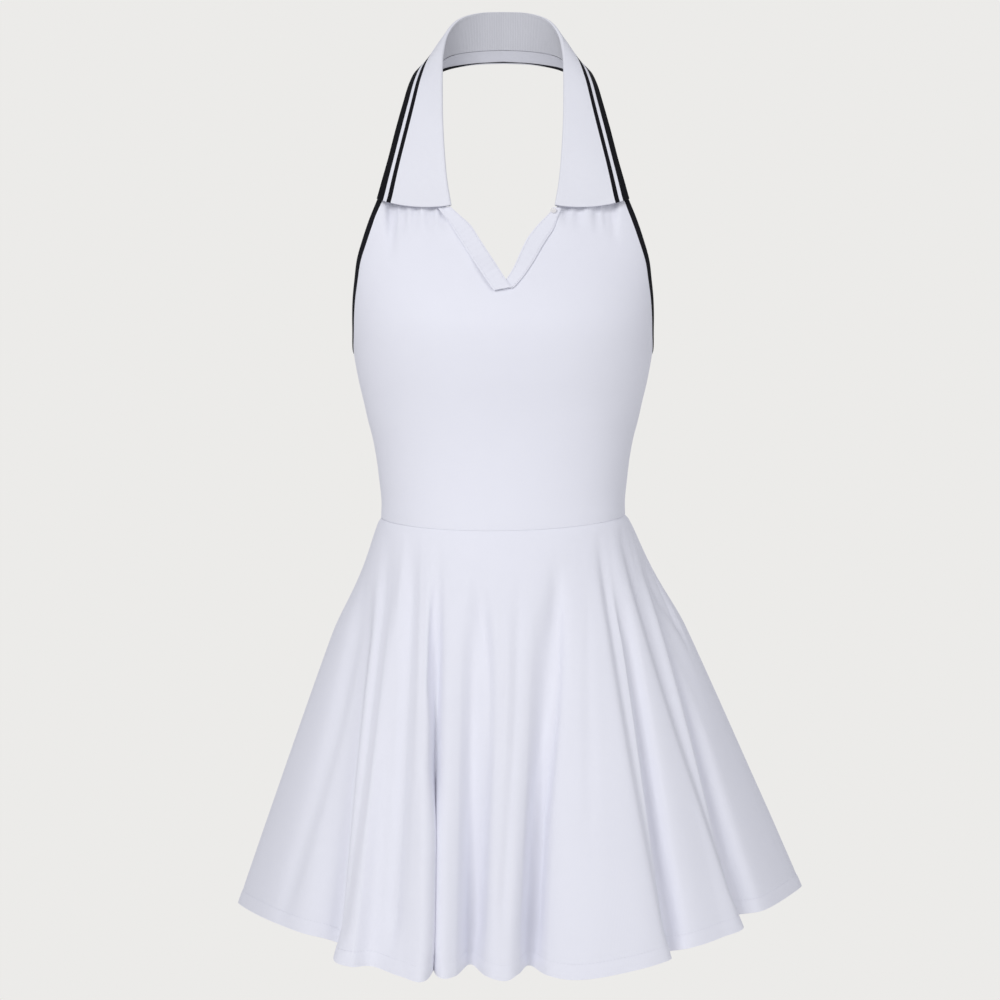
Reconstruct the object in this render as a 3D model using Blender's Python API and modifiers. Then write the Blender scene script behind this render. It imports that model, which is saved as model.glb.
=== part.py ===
"""Sleeveless halter-neck tennis dress with a folded knit collar, worn form, hollow.

The frame is metres, +Z up, front facing -Y. The origin is at the nape, at the foot of the
neckband on its inner side. Every piece is a cloth wall, clear of its neighbours.
"""
from collections import namedtuple
from math import asin, cos, pi, radians, sin

import bmesh
import bpy
import numpy as np
from mathutils import Vector

MM = 0.001
WELD = 0.01 * MM
CLOTH = 1.2 * MM
RIB = 1.5 * MM
BINDING = 1.7 * MM
SEAM_GAP = 0.3 * MM
NAPE_GAP = 0.45 * MM
CURVED_GAP = 1.3 * MM
NECK_GAP = 1.7 * MM

# The figure that the dress is cut for
AXIS_Y = -60 * MM
FRONT_FLATNESS = 0.8
Section = namedtuple("Section", "z half_width front back")
TORSO = (
    Section(-440, 113.5, 83.0, 75.0),
    Section(-429, 113.3, 82.5, 75.0),
    Section(-412, 113.0, 82.0, 74.0),
    Section(-394, 114.9, 82.2, 74.0),
    Section(-376, 117.2, 83.5, 75.0),
    Section(-357, 120.9, 86.0, 76.5),
    Section(-338, 126.0, 89.5, 78.0),
    Section(-320, 129.6, 94.0, 80.0),
    Section(-300, 134.0, 99.5, 82.5),
    Section(-273, 139.0, 105.0, 85.0),
    Section(-255, 141.0, 106.0, 85.0),
    Section(-232, 143.5, 100.5, 84.0),
    Section(-203, 146.0, 87.5, 82.0),
    Section(-174, 148.0, 71.5, 80.0),
    Section(-144, 150.0, 56.0, 78.0),
    Section(-122, 150.5, 47.0, 76.0),
)

# Armhole edge from the side seam up to the neckband, by azimuth and height
Edge = namedtuple("Edge", "z deg")
ARMHOLE = (
    Edge(-272.0, 90.0),
    Edge(-270.6, 87.0),
    Edge(-266.0, 83.6),
    Edge(-257.8, 80.3),
    Edge(-243.8, 77.0),
    Edge(-227.2, 73.3),
    Edge(-210.7, 69.5),
    Edge(-192.9, 66.0),
    Edge(-174.2, 60.6),
    Edge(-156.3, 55.6),
    Edge(-144.3, 52.3),
    Edge(-132.7, 49.3),
)
ARMHOLE_TOP = len(ARMHOLE) - 1
UNDERARM_Z = -272 * MM
BINDING_WIDTH = 5.2 * MM
BACK_DIP = 26 * MM
BACK_ROUND = 1.3
PLACE_STEP = 0.1
TURN_STEP = 0.01
NECK_SHARE = 0.5
JOIN_SHARE = 0.3

# Waist seam: height at the sides, dip at the front centre and tilt to one side
WAIST_Z = -427.3 * MM
WAIST_DIP = 13.5 * MM
WAIST_TILT = 1.6 * MM
WAIST_ROUND = 1.2

# Rows of the front from its top edge down: height at the armhole side and at the middle
Row = namedtuple("Row", "outer_z inner_z")
FRONT_ROWS = (
    Row(-134.2, -137.6),
    Row(-148.0, -152.0),
    Row(-163.0, -167.0),
    Row(-178.0, -184.0),
    Row(-194.0, -201.0),
    Row(-208.0, -216.8),
    Row(-223.0, -231.0),
    Row(-238.0, -245.0),
    Row(-252.0, -257.0),
    Row(-261.0, -266.0),
    Row(-268.0, -273.0),
    Row(-274.6, -281.0),
    Row(-278.4, -290.0),
    Row(-298.0, -308.0),
    Row(-325.0, -333.0),
    Row(-352.0, -360.0),
    Row(-380.0, -388.0),
    Row(-405.0, -415.0),
)
NOTCH_Z = -216.8 * MM
NOTCH_ROUND = 10 * MM
TOP_INNER_X = 50 * MM
TOP_OUTER_X = 112 * MM
GATHER_TAIL = 1.6

# Gathers under the collar: place across, depth and how far each one runs down
Gather = namedtuple("Gather", "x depth run width")
GATHERS = (
    Gather(-102.4, 2.2, 40, 4.5),
    Gather(-92.6, 1.5, 28, 4.5),
    Gather(-80.6, 1.1, 24, 4.5),
    Gather(-66.9, 1.2, 26, 5.0),
    Gather(-55.5, 1.4, 22, 4.0),
    Gather(57.6, 1.5, 18, 4.0),
    Gather(68.8, 1.0, 22, 5.0),
    Gather(86.5, 1.2, 26, 4.5),
    Gather(94.8, 1.4, 26, 4.0),
    Gather(101.2, 1.5, 30, 4.0),
)

# The V: inner edge and sewn edge of each placket band, from the collar down
Band = namedtuple("Band", "inner_x inner_z outer_x outer_z")
PLACKET_OVER = (
    Band(-47.7, -144.8, -59.0, -146.2),
    Band(-44.7, -147.9, -55.0, -151.8),
    Band(-38.2, -153.9, -49.2, -159.1),
    Band(-29.2, -162.6, -42.5, -170.4),
    Band(-22.3, -173.6, -35.6, -181.7),
    Band(-14.5, -186.3, -27.2, -195.4),
    Band(-7.2, -197.7, -19.2, -207.6),
    Band(1.8, -212.6, -11.6, -219.6),
    Band(8.1, -220.9, -8.1, -224.1),
)
PLACKET_UNDER = (
    Band(45.2, -145.4, 53.0, -146.8),
    Band(42.0, -151.0, 49.5, -155.0),
    Band(33.7, -159.7, 45.5, -165.8),
    Band(26.4, -168.5, 39.1, -176.1),
    Band(20.9, -176.7, 33.6, -185.3),
    Band(15.1, -189.4, 27.2, -197.0),
    Band(9.0, -203.3, 19.4, -209.1),
    Band(2.4, -214.2, 11.6, -219.1),
    Band(-2.4, -219.2, 7.7, -222.6),
)
BAND_CLEAR = 0.8 * MM
OVERLAP_TOP = -191 * MM
OVERLAP_FULL = -208 * MM

# Collar and neckband: four lines from the nape to the front end of the right side
Station = namedtuple(
    "Station",
    "fold_x fold_y fold_z edge_x edge_y edge_z seam_x seam_y seam_z low_x low_y low_z bind",
)
COLLAR = (
    Station(0.0, 2.0, 48.3, 0.0, 13.0, 5.9, 0.0, 0.0, 13.9, 0.0, 1.0, 1.6, 1.5),
    Station(22.4, -2.0, 46.7, 27.4, 9.0, 4.8, 22.1, -4.0, 12.3, 22.4, -3.2, -0.2, 2.0),
    Station(41.1, -14.0, 39.4, 51.5, -6.0, 2.3, 41.6, -16.0, 8.2, 42.6, -15.2, -4.8, 2.6),
    Station(52.5, -30.0, 24.8, 67.7, -28.0, -2.2, 53.5, -32.0, 1.8, 56.0, -31.5, -10.7, 3.6),
    Station(56.9, -46.0, 6.9, 80.2, -48.0, -10.9, 58.1, -48.0, -7.4, 70.2, -50.0, -18.7, 4.6),
    Station(57.9, -61.0, -12.6, 87.2, -62.0, -25.3, 60.4, -62.0, -24.3, 82.4, -63.0, -31.4, 5.2),
    Station(57.7, -76.0, -36.0, 93.0, -75.0, -46.8, 61.1, -75.0, -45.8, 89.6, -73.0, -51.6, 5.2),
    Station(57.2, -90.0, -61.5, 99.1, -86.0, -71.0, 60.8, -87.0, -69.1, 96.3, -82.5, -74.0, 5.2),
    Station(55.6, -102.0, -90.5, 105.7, -95.0, -98.7, 59.1, -98.5, -96.1, 103.2, -90.0, -100.6, 5.2),
    Station(53.1, -110.8, -119.0, 111.5, -101.0, -120.5, 56.5, -106.6, -122.5, 109.8, -94.6, -122.3, 5.2),
    Station(49.0, -117.6, -144.2, 115.7, -104.4, -136.6, 52.9, -115.4, -145.0, 116.2, -98.2, -139.3, 5.2),
)
FOLD_RADIUS = 2.0 * MM
FALL_ROLL = 1.6 * MM
LEAF_END_BOW = 4.6 * MM
LEAF_END_ROUND = 0.8
STATION_STEP = 0.2
STAND_SHARE = 0.3
FOLD_SHARE = 0.3
NECKBAND_END = 9.6

# Skirt: one row for each turn of the hem, with the place on the waist that it hangs from
Fold = namedtuple("Fold", "waist_deg x y z")
FRONT_HEM = (
    Fold(-90, -244.6, -60, -789),
    Fold(-84, -219.0, -122, -793),
    Fold(-78, -183.0, -163, -801),
    Fold(-72, -148.0, -179, -809),
    Fold(-67, -151.0, -198, -819),
    Fold(-58, -135.0, -212, -825),
    Fold(-49, -114.0, -205, -826),
    Fold(-43, -91.5, -220, -832),
    Fold(-35, -67.2, -222, -834),
    Fold(-31, -61.6, -188, -822),
    Fold(-27, -57.5, -212, -832),
    Fold(-19, -42.5, -214, -833),
    Fold(-12, -29.5, -190, -826),
    Fold(-5, -16.0, -216, -832),
    Fold(5, 2.0, -223, -836),
    Fold(15, 13.5, -214, -831),
    Fold(25, 25.0, -192, -827),
    Fold(31, 38.5, -214, -832),
    Fold(37, 59.5, -223, -835),
    Fold(45, 99.0, -220, -831),
    Fold(50, 135.5, -207, -824),
    Fold(53, 150.5, -194, -820),
    Fold(56, 143.5, -179, -818),
    Fold(63, 168.0, -178, -813),
    Fold(71, 197.0, -160, -806),
    Fold(76, 218.0, -141, -799),
    Fold(79, 211.0, -126, -792),
    Fold(84, 238.0, -112, -788),
    Fold(90, 273.0, -60, -776),
)
BACK_HEM = (
    Fold(90, 273.0, -60, -776),
    Fold(104, 258.0, 4, -783),
    Fold(115, 224.0, 50, -800),
    Fold(123, 197.0, 44, -806),
    Fold(132, 180.0, 78, -812),
    Fold(142, 141.0, 96, -818),
    Fold(149, 119.0, 80, -818),
    Fold(157, 101.0, 106, -822),
    Fold(168, 64.0, 116, -825),
    Fold(175, 41.0, 93, -822),
    Fold(182, 20.0, 116, -826),
    Fold(192, -22.0, 120, -828),
    Fold(200, -45.0, 96, -825),
    Fold(208, -68.0, 114, -826),
    Fold(218, -108.0, 104, -824),
    Fold(226, -129.0, 80, -820),
    Fold(234, -150.0, 90, -818),
    Fold(244, -190.0, 62, -812),
    Fold(251, -206.0, 36, -806),
    Fold(259, -233.0, 12, -798),
    Fold(270, -244.6, -60, -789),
)
SMOOTH_SPAN_DEG = 24
FOLD_START = 0.05
FOLD_FULL = 0.30
HIP_BULGE = 0.062
HIP_HIGH = 0.55
SIDE_GAP_DEG = 0.075

BUTTON_RADIUS = 2.7 * MM
BUTTON_THICK = 1.6 * MM
BUTTON_X = 45.6 * MM
BUTTON_Z = -149.4 * MM

WHITE = (0.79, 0.79, 0.86, 1.0)
COLLAR_WHITE = (0.74, 0.74, 0.80, 1.0)
BLACK = (0.012, 0.012, 0.015, 1.0)
PEARL = (0.85, 0.84, 0.82, 1.0)


def smooth_curve(value, places, heights):
    """Height at value on a smooth curve through the pairs; places must rise."""
    places = np.asarray(places, float)
    heights = np.asarray(heights, float)
    slopes = np.gradient(heights, places)
    value = min(max(value, places[0]), places[-1])
    i = int(np.clip(np.searchsorted(places, value) - 1, 0, len(places) - 2))
    span = places[i + 1] - places[i]
    t = (value - places[i]) / span
    start = (1 + 2 * t) * (1 - t) ** 2 * heights[i] + t * (1 - t) ** 2 * span * slopes[i]
    end = t * t * (3 - 2 * t) * heights[i + 1] + t * t * (t - 1) * span * slopes[i + 1]
    return float(start + end)


def ease(value, low, high):
    """0 below low, 1 above high, and a soft step between them."""
    t = min(max((value - low) / (high - low), 0.0), 1.0)
    return t * t * (3 - 2 * t)


def mix(a, b, t):
    return a + (b - a) * t


def torso_size(z):
    """Half width, front depth and back depth of the figure at height z."""
    heights = [row.z * MM for row in TORSO]
    return [smooth_curve(z, heights, [row[i] * MM for row in TORSO]) for i in (1, 2, 3)]


def torso_point(azimuth, z, out=0.0):
    """Point on the figure, azimuth 0 at the front and growing to +X, moved out."""
    half_width, front, back = torso_size(z)
    forward = cos(azimuth)
    if forward >= 0:
        y = AXIS_Y - front * forward**FRONT_FLATNESS
    else:
        y = AXIS_Y + back * abs(forward) ** FRONT_FLATNESS
    away = Vector((sin(azimuth), -forward * half_width / front, 0)).normalized()
    return Vector((half_width * sin(azimuth), y, z)) + away * out


def azimuth_at(x, z):
    half_width = torso_size(z)[0]
    return asin(min(max(x / half_width, -1.0), 1.0))


def gather_relief(x, z):
    """How far the gathers push the front in, deepest at its top edges."""
    top = mix(FRONT_ROWS[0].inner_z, FRONT_ROWS[0].outer_z, ease(abs(x), TOP_INNER_X, TOP_OUTER_X)) * MM
    below = max(top - z, 0.0)
    relief = 0.0
    for fold in GATHERS:
        across = (x - fold.x * MM) / (fold.width * MM)
        fade = 1 - ease(below, 0, fold.run * MM * GATHER_TAIL)
        relief -= fold.depth * MM * np.exp(-across * across) * fade
    return relief


def front_point(x, z, out=0.0):
    return torso_point(azimuth_at(x, z), z, out + gather_relief(x, z))


def armhole_line(place):
    """Azimuth and height of the armhole edge; place counts the rows from the underarm."""
    numbers = list(range(len(ARMHOLE)))
    deg = smooth_curve(place, numbers, [row.deg for row in ARMHOLE])
    return radians(deg), smooth_curve(place, numbers, [row.z * MM for row in ARMHOLE])


def armhole_inset(place, width):
    """Azimuth and height of a point a width inside the armhole edge."""
    azimuth, z = armhole_line(place)
    upper = armhole_line(min(place + PLACE_STEP, ARMHOLE_TOP))
    lower = armhole_line(max(place - PLACE_STEP, 0))
    run = (torso_point(azimuth, z) - torso_point(azimuth - TURN_STEP, z)).length / TURN_STEP
    along = Vector(((upper[0] - lower[0]) * run, upper[1] - lower[1])).normalized()
    return azimuth - along.y * width / run, z + along.x * width


def waist_z(azimuth):
    front = max(cos(azimuth), 0.0) ** WAIST_ROUND
    return WAIST_Z - WAIST_DIP * front + WAIST_TILT * sin(azimuth)


def waist_point(azimuth, out=0.0):
    return torso_point(azimuth, waist_z(azimuth), out)


def band_lines(rows):
    """The rows of a placket as two curves of (x, z) over the rows' own numbers."""
    numbers = list(range(len(rows)))

    def at(place, across):
        values = [smooth_curve(place, numbers, [row[i] * MM for row in rows]) for i in range(4)]
        return mix(values[0], values[2], across), mix(values[1], values[3], across)

    return at


def cut_x(rows, z):
    """Where the front's own V edge runs, under the placket band."""
    cover = sorted(((r.inner_z + r.outer_z) / 2 * MM, (r.inner_x + r.outer_x) / 2 * MM) for r in rows)
    heights = [place[0] for place in cover]
    if z <= NOTCH_Z:
        return 0.0
    cut = smooth_curve(z, heights, [place[1] for place in cover])
    return cut * ease(z, NOTCH_Z, NOTCH_Z + NOTCH_ROUND)


def collar_lines(place):
    """Fold, outer edge, seam and lower neckband line at a station number, right side."""
    numbers = list(range(len(COLLAR)))
    row = [smooth_curve(place, numbers, [s[i] * MM for s in COLLAR]) for i in range(13)]
    return Vector(row[0:3]), Vector(row[3:6]), Vector(row[6:9]), Vector(row[9:12]), row[12]


def mirrored(point, side):
    return Vector((point.x * side, point.y, point.z))


def collar_point(u, v):
    """Collar from its left end round the nape to its right end, from seam to outer edge."""
    last = len(COLLAR) - 1
    place = (u * 2 - 1) * last
    side = 1 if place >= 0 else -1
    place = abs(place)
    fold, edge, seam, _, _ = collar_lines(place)
    ahead = collar_lines(min(place + STATION_STEP, last))[0]
    behind = collar_lines(max(place - STATION_STEP, 0))[0]
    along = (ahead - behind).normalized() if place > STATION_STEP else Vector((1, 0, 0))
    outward = along.cross(edge - fold).normalized()
    top = -((edge - fold).normalized() + (seam - fold).normalized())
    top = (top - top.dot(along) * along - top.dot(outward) * outward).normalized()
    stand_end = STAND_SHARE
    fall_start = STAND_SHARE + FOLD_SHARE
    if v <= stand_end:
        point = seam.lerp(fold - outward * FOLD_RADIUS, v / stand_end)
    elif v < fall_start:
        turn = pi * (v - stand_end) / FOLD_SHARE
        point = fold + (top * sin(turn) - outward * cos(turn)) * FOLD_RADIUS
    else:
        share = (v - fall_start) / (1 - fall_start)
        point = (fold + outward * FOLD_RADIUS).lerp(edge, share)
        point += outward * FALL_ROLL * sin(pi * share)
        point.z -= ease(place, last - 2, last) * LEAF_END_BOW * sin(pi * share) ** LEAF_END_ROUND
    return mirrored(point, side)


def neckband_point(u, v):
    """Neckband from its left end round the nape, from the collar seam to the binding."""
    place = (u * 2 - 1) * NECKBAND_END
    side = 1 if place >= 0 else -1
    _, _, seam, low, bind = collar_lines(abs(place))
    across = (low - seam).normalized()
    start = seam + across * CURVED_GAP
    end = low - across * (bind + NECK_GAP)
    return mirrored(start.lerp(end, v), side)


def hem_curve(rows):
    """Hem place, and the softly averaged hem place, over the waist azimuth."""
    degrees = [row.waist_deg for row in rows]
    columns = [[row[i] * MM for row in rows] for i in (1, 2, 3)]

    def place(deg):
        return Vector([smooth_curve(deg, degrees, column) for column in columns])

    return place


def closed_hem():
    """Front and back hem rows as one loop that runs a little past both its ends."""
    loop = list(FRONT_HEM[:-1]) + list(BACK_HEM[:-1])
    before = [row._replace(waist_deg=row.waist_deg - 360) for row in loop[-3:]]
    after = [row._replace(waist_deg=row.waist_deg + 360) for row in loop[:3]]
    return hem_curve(before + loop + after)


HEM = closed_hem()


def wrapped(deg):
    return (deg + 90) % 360 - 90


def hem_average(deg):
    """Mean of the hem over a wide span, which is the skirt with its folds ironed out."""
    steps = np.linspace(-SMOOTH_SPAN_DEG, SMOOTH_SPAN_DEG, 9)
    total = Vector((0, 0, 0))
    for step in steps:
        total += HEM(wrapped(deg + step))
    return total / len(steps)


def skirt_point(deg, down):
    """Point of the skirt: down is 0 at the waist seam and 1 at the hem."""
    azimuth = radians(deg)
    top = waist_point(azimuth)
    top.z -= SEAM_GAP
    plain = hem_average(deg)
    hem = HEM(wrapped(deg))
    grown = down * ease(down, FOLD_START, FOLD_FULL)
    flare = down + HIP_BULGE * sin(pi * down**HIP_HIGH)
    point = top.lerp(plain, down)
    point.x = mix(top.x, plain.x, flare) + (hem.x - plain.x) * grown
    point.y = mix(top.y, plain.y, flare) + (hem.y - plain.y) * grown
    point.z += (hem.z - plain.z) * grown
    return point


def material(name, color, roughness):
    made = bpy.data.materials.new(name)
    made.use_nodes = True
    shader = made.node_tree.nodes["Principled BSDF"]
    shader.inputs["Base Color"].default_value = color
    shader.inputs["Roughness"].default_value = roughness
    shader.inputs["Metallic"].default_value = 0.0
    made.diffuse_color = color
    return made


def grid_into(bm, columns, rows, place):
    """Adds a grid whose corner runs from (0, 0) to (1, 1), put in place by a function."""
    made = bmesh.ops.create_grid(bm, x_segments=columns, y_segments=rows, size=0.5)
    for vert in made["verts"]:
        vert.co = place(vert.co.x + 0.5, vert.co.y + 0.5)


def finish(name, bm, cloth_material, collection, thickness):
    """Makes the object of a sheet and gives it a wall on its inner side."""
    mesh = bpy.data.meshes.new(name)
    bm.to_mesh(mesh)
    bm.free()
    piece = bpy.data.objects.new(name, mesh)
    piece.data.materials.append(cloth_material)
    collection.objects.link(piece)
    mesh.shade_smooth()
    if thickness:
        wall = piece.modifiers.new("cloth wall", "SOLIDIFY")
        wall.thickness = thickness
        wall.offset = -1.0
    return piece


def sheet(name, columns, rows, place, look, collection, thickness=CLOTH):
    bm = bmesh.new()
    grid_into(bm, columns, rows, place)
    return finish(name, bm, look, collection, thickness)


def panel_edge():
    """Heights and azimuths of the front panel's edge beside the binding, from below."""
    places = np.linspace(0, ARMHOLE_TOP, 40)
    inner = [armhole_inset(place, BINDING_WIDTH + CURVED_GAP) for place in places]
    return [point[1] for point in inner], [point[0] for point in inner]


PANEL_EDGE = panel_edge()


def front_outer_azimuth(z):
    """Edge of the front panel: beside the binding, then at the side seam."""
    side_seam = pi / 2 - SEAM_GAP / 2 / torso_size(z)[0]
    if z < PANEL_EDGE[0][0]:
        return side_seam
    return min(float(np.interp(z, *PANEL_EDGE)), side_seam)


def bodice_front_half(side, rows):
    """Place function of one half of the front, from its outer edge to its V edge."""
    def place(u, v):
        across = u if side < 0 else 1 - u
        number = round((1 - v) * len(FRONT_ROWS))
        if number < len(FRONT_ROWS):
            z = mix(FRONT_ROWS[number].outer_z, FRONT_ROWS[number].inner_z, across) * MM
        else:
            z = waist_z(side * (pi / 2) * (1 - across)) + SEAM_GAP
        outer = side * front_outer_azimuth(z)
        inner = azimuth_at(cut_x(rows, z), z)
        azimuth = mix(outer, inner, across)
        x = torso_size(z)[0] * sin(azimuth)
        return torso_point(azimuth, z, gather_relief(x, z))

    return place


def make_bodice_front(look, collection):
    bm = bmesh.new()
    rows = len(FRONT_ROWS)
    columns = 13
    grid_into(bm, columns, rows, bodice_front_half(-1, PLACKET_OVER))
    grid_into(bm, columns, rows, bodice_front_half(1, PLACKET_UNDER))
    bmesh.ops.remove_doubles(bm, verts=bm.verts[:], dist=WELD)
    return finish("bodice_front", bm, look, collection, CLOTH)


def back_top_z(azimuth):
    """Height of the back's bound top edge, lowest at the centre back."""
    return UNDERARM_Z - BACK_DIP * max(-cos(azimuth), 0.0) ** BACK_ROUND


def make_bodice_back(look, collection):
    def place(u, v):
        azimuth = mix(pi / 2, 3 * pi / 2, u)
        side_gap = SEAM_GAP / 2 / torso_size(UNDERARM_Z)[0]
        azimuth = min(max(azimuth, pi / 2 + side_gap), 3 * pi / 2 - side_gap)
        low = waist_z(azimuth) + SEAM_GAP
        high = back_top_z(azimuth) - BINDING_WIDTH - SEAM_GAP
        return torso_point(azimuth, mix(low, high, v))

    return sheet("bodice_back", 26, 8, place, look, collection)


def make_neckband(look, collection):
    return sheet("neckband", 44, 1, neckband_point, look, collection)


def make_collar(look, collection):
    return sheet("collar", 30, 10, collar_point, look, collection, RIB)


def make_placket(name, rows, lift, look, collection):
    """A folded band on the front's points, moved out by its own lift."""
    at = band_lines(rows)
    last = len(rows) - 1
    leftward = rows[0].inner_x < 0

    def place(u, v):
        across = 1 - u if leftward else u
        x, z = at((1 - v) * last, across)
        return front_point(x, z, lift(z))

    return sheet(name, 3, 16, place, look, collection)


def under_lift(z):
    return CLOTH + BAND_CLEAR


def over_lift(z):
    raised = 1 - ease(z, OVERLAP_FULL, OVERLAP_TOP)
    return under_lift(z) + raised * (CLOTH + BAND_CLEAR)


def armhole_binding_place(side):
    """Place function of one binding: nape, outer edge of the neckband, armhole, side."""
    def on_neck(place, across):
        _, _, seam, low, bind = collar_lines(place)
        inward = (seam - low).normalized()
        return low + inward * bind * across

    def on_armhole(place, across):
        return torso_point(*armhole_inset(place, BINDING_WIDTH * across))

    def place(u, v):
        along = u if side > 0 else 1 - u
        across = 1 - v
        if along <= NECK_SHARE:
            point = on_neck(along / NECK_SHARE * NECKBAND_END, across)
        else:
            share = (along - NECK_SHARE) / (1 - NECK_SHARE)
            join = on_neck(NECKBAND_END, across) - on_armhole(ARMHOLE_TOP, across)
            point = on_armhole((1 - share) * ARMHOLE_TOP, across) + join * (1 - ease(share, 0, JOIN_SHARE))
        point.x = max(point.x, NAPE_GAP)
        return mirrored(point, side)

    return place


def make_binding(name, side, look, collection):
    return sheet(name, 44, 2, armhole_binding_place(side), look, collection, BINDING)


def make_back_binding(look, collection):
    def place(u, v):
        gap = 2 * SEAM_GAP / torso_size(UNDERARM_Z)[0]
        azimuth = mix(pi / 2 + gap, 3 * pi / 2 - gap, u)
        top = back_top_z(azimuth)
        return torso_point(azimuth, mix(top - BINDING_WIDTH, top, v))

    return sheet("binding_back", 28, 2, place, look, collection, BINDING)


def make_skirt(name, first_deg, last_deg, columns, rows, look, collection):
    def place(u, v):
        deg = mix(first_deg, last_deg, u)
        deg = min(max(deg, first_deg + SIDE_GAP_DEG), last_deg - SIDE_GAP_DEG)
        return skirt_point(deg, 1 - v)

    return sheet(name, columns, rows, place, look, collection)


def make_button(look, collection):
    """A small domed button on the right placket band, just under the collar."""
    bm = bmesh.new()
    bmesh.ops.create_uvsphere(bm, u_segments=12, v_segments=6, radius=BUTTON_RADIUS)
    bmesh.ops.scale(bm, verts=bm.verts, vec=(1, 1, BUTTON_THICK / 2 / BUTTON_RADIUS))
    cloth = front_point(BUTTON_X, BUTTON_Z, under_lift(BUTTON_Z))
    across = front_point(BUTTON_X + MM, BUTTON_Z) - front_point(BUTTON_X - MM, BUTTON_Z)
    upward = front_point(BUTTON_X, BUTTON_Z + MM) - front_point(BUTTON_X, BUTTON_Z - MM)
    facing = across.cross(upward).normalized()
    turn = facing.to_track_quat("Z", "Y").to_matrix()
    bmesh.ops.rotate(bm, verts=bm.verts, cent=(0, 0, 0), matrix=turn)
    bmesh.ops.translate(bm, verts=bm.verts, vec=cloth + facing * (BUTTON_THICK / 2 + SEAM_GAP))
    return finish("button", bm, look, collection, 0)


def clear_scene():
    for found in list(bpy.data.objects):
        bpy.data.objects.remove(found, do_unlink=True)


def main():
    clear_scene()
    dress = bpy.data.collections.new("tennis dress")
    bpy.context.scene.collection.children.link(dress)
    jersey = material("white jersey", WHITE, 0.75)
    make_bodice_front(jersey, dress)
    make_bodice_back(material("white jersey back", WHITE, 0.75), dress)
    make_neckband(material("neckband jersey", WHITE, 0.75), dress)
    make_collar(material("rib knit collar", COLLAR_WHITE, 0.85), dress)
    make_placket("placket_over", PLACKET_OVER, over_lift, material("over band", WHITE, 0.75), dress)
    make_placket("placket_under", PLACKET_UNDER, under_lift, material("under band", WHITE, 0.75), dress)
    make_binding("binding_right", 1, material("right binding", BLACK, 0.8), dress)
    make_binding("binding_left", -1, material("left binding", BLACK, 0.8), dress)
    make_back_binding(material("back binding", BLACK, 0.8), dress)
    make_skirt("skirt_front", -90, 90, 60, 8, material("skirt front jersey", WHITE, 0.75), dress)
    make_skirt("skirt_back", 90, 270, 42, 8, material("skirt back jersey", WHITE, 0.75), dress)
    make_button(material("pearl button", PEARL, 0.3), dress)


main()
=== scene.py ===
"""Halter-neck tennis dress: fine cloth shells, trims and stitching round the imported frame."""
from collections import namedtuple
from functools import lru_cache
from math import asin, cos, pi, radians, sin

import bmesh
import bpy
import numpy as np
from mathutils import Matrix, Vector


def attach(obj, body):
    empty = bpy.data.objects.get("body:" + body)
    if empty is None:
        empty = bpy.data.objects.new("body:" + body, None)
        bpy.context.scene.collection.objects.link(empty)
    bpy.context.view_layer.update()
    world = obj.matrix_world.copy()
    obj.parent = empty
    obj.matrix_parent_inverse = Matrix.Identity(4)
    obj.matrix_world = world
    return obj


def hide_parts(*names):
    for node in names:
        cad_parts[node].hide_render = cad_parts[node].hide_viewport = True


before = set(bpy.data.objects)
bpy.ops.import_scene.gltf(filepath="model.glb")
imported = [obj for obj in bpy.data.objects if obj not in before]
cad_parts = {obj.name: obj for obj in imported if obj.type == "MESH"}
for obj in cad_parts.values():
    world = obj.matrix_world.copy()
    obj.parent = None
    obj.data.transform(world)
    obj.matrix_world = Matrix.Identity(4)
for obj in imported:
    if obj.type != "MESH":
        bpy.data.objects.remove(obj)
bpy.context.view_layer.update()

bl_info = {
    "name": "Tennis Dress",
    "version": (1, 0, 0),
    "blender": (4, 5, 0),
    "location": "View3D > Sidebar > Tennis Dress",
    "description": "Builds a halter-neck tennis dress from its cut sizes",
    "category": "Add Mesh",
}

MM = 0.001
CLOTH = 1.2 * MM
SEAM_GAP = 0.02 * MM
NAPE_GAP = 0.02 * MM

# The figure that the dress is cut for
AXIS_Y = -60 * MM
FRONT_FLATNESS = 0.8
Section = namedtuple("Section", "z half_width front back")
TORSO = (
    Section(-440, 113.5, 83.0, 75.0),
    Section(-429, 113.3, 82.5, 75.0),
    Section(-412, 113.0, 82.0, 74.0),
    Section(-394, 114.9, 82.2, 74.0),
    Section(-376, 117.2, 83.5, 75.0),
    Section(-357, 120.9, 86.0, 76.5),
    Section(-338, 126.0, 89.5, 78.0),
    Section(-320, 129.6, 94.0, 80.0),
    Section(-300, 134.0, 99.5, 82.5),
    Section(-273, 139.0, 105.0, 85.0),
    Section(-255, 141.0, 106.0, 85.0),
    Section(-232, 143.5, 100.5, 84.0),
    Section(-203, 146.0, 87.5, 82.0),
    Section(-174, 148.0, 71.5, 80.0),
    Section(-144, 150.0, 56.0, 78.0),
    Section(-122, 150.5, 47.0, 76.0),
)

# Armhole edge from the side seam up to the neckband, by azimuth and height
Edge = namedtuple("Edge", "z deg")
ARMHOLE = (
    Edge(-272.0, 90.0),
    Edge(-270.6, 87.0),
    Edge(-266.0, 83.6),
    Edge(-257.8, 80.3),
    Edge(-243.8, 77.0),
    Edge(-227.2, 73.3),
    Edge(-210.7, 69.5),
    Edge(-192.9, 66.0),
    Edge(-174.2, 60.6),
    Edge(-156.3, 55.6),
    Edge(-144.3, 52.3),
    Edge(-132.7, 49.3),
)
ARMHOLE_TOP = len(ARMHOLE) - 1
UNDERARM_Z = -272 * MM
BINDING_WIDTH = 5.2 * MM
BACK_DIP = 26 * MM
BACK_ROUND = 1.3
PLACE_STEP = 0.1
TURN_STEP = 0.01
NECK_SHARE = 0.5
JOIN_SHARE = 0.3

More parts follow.
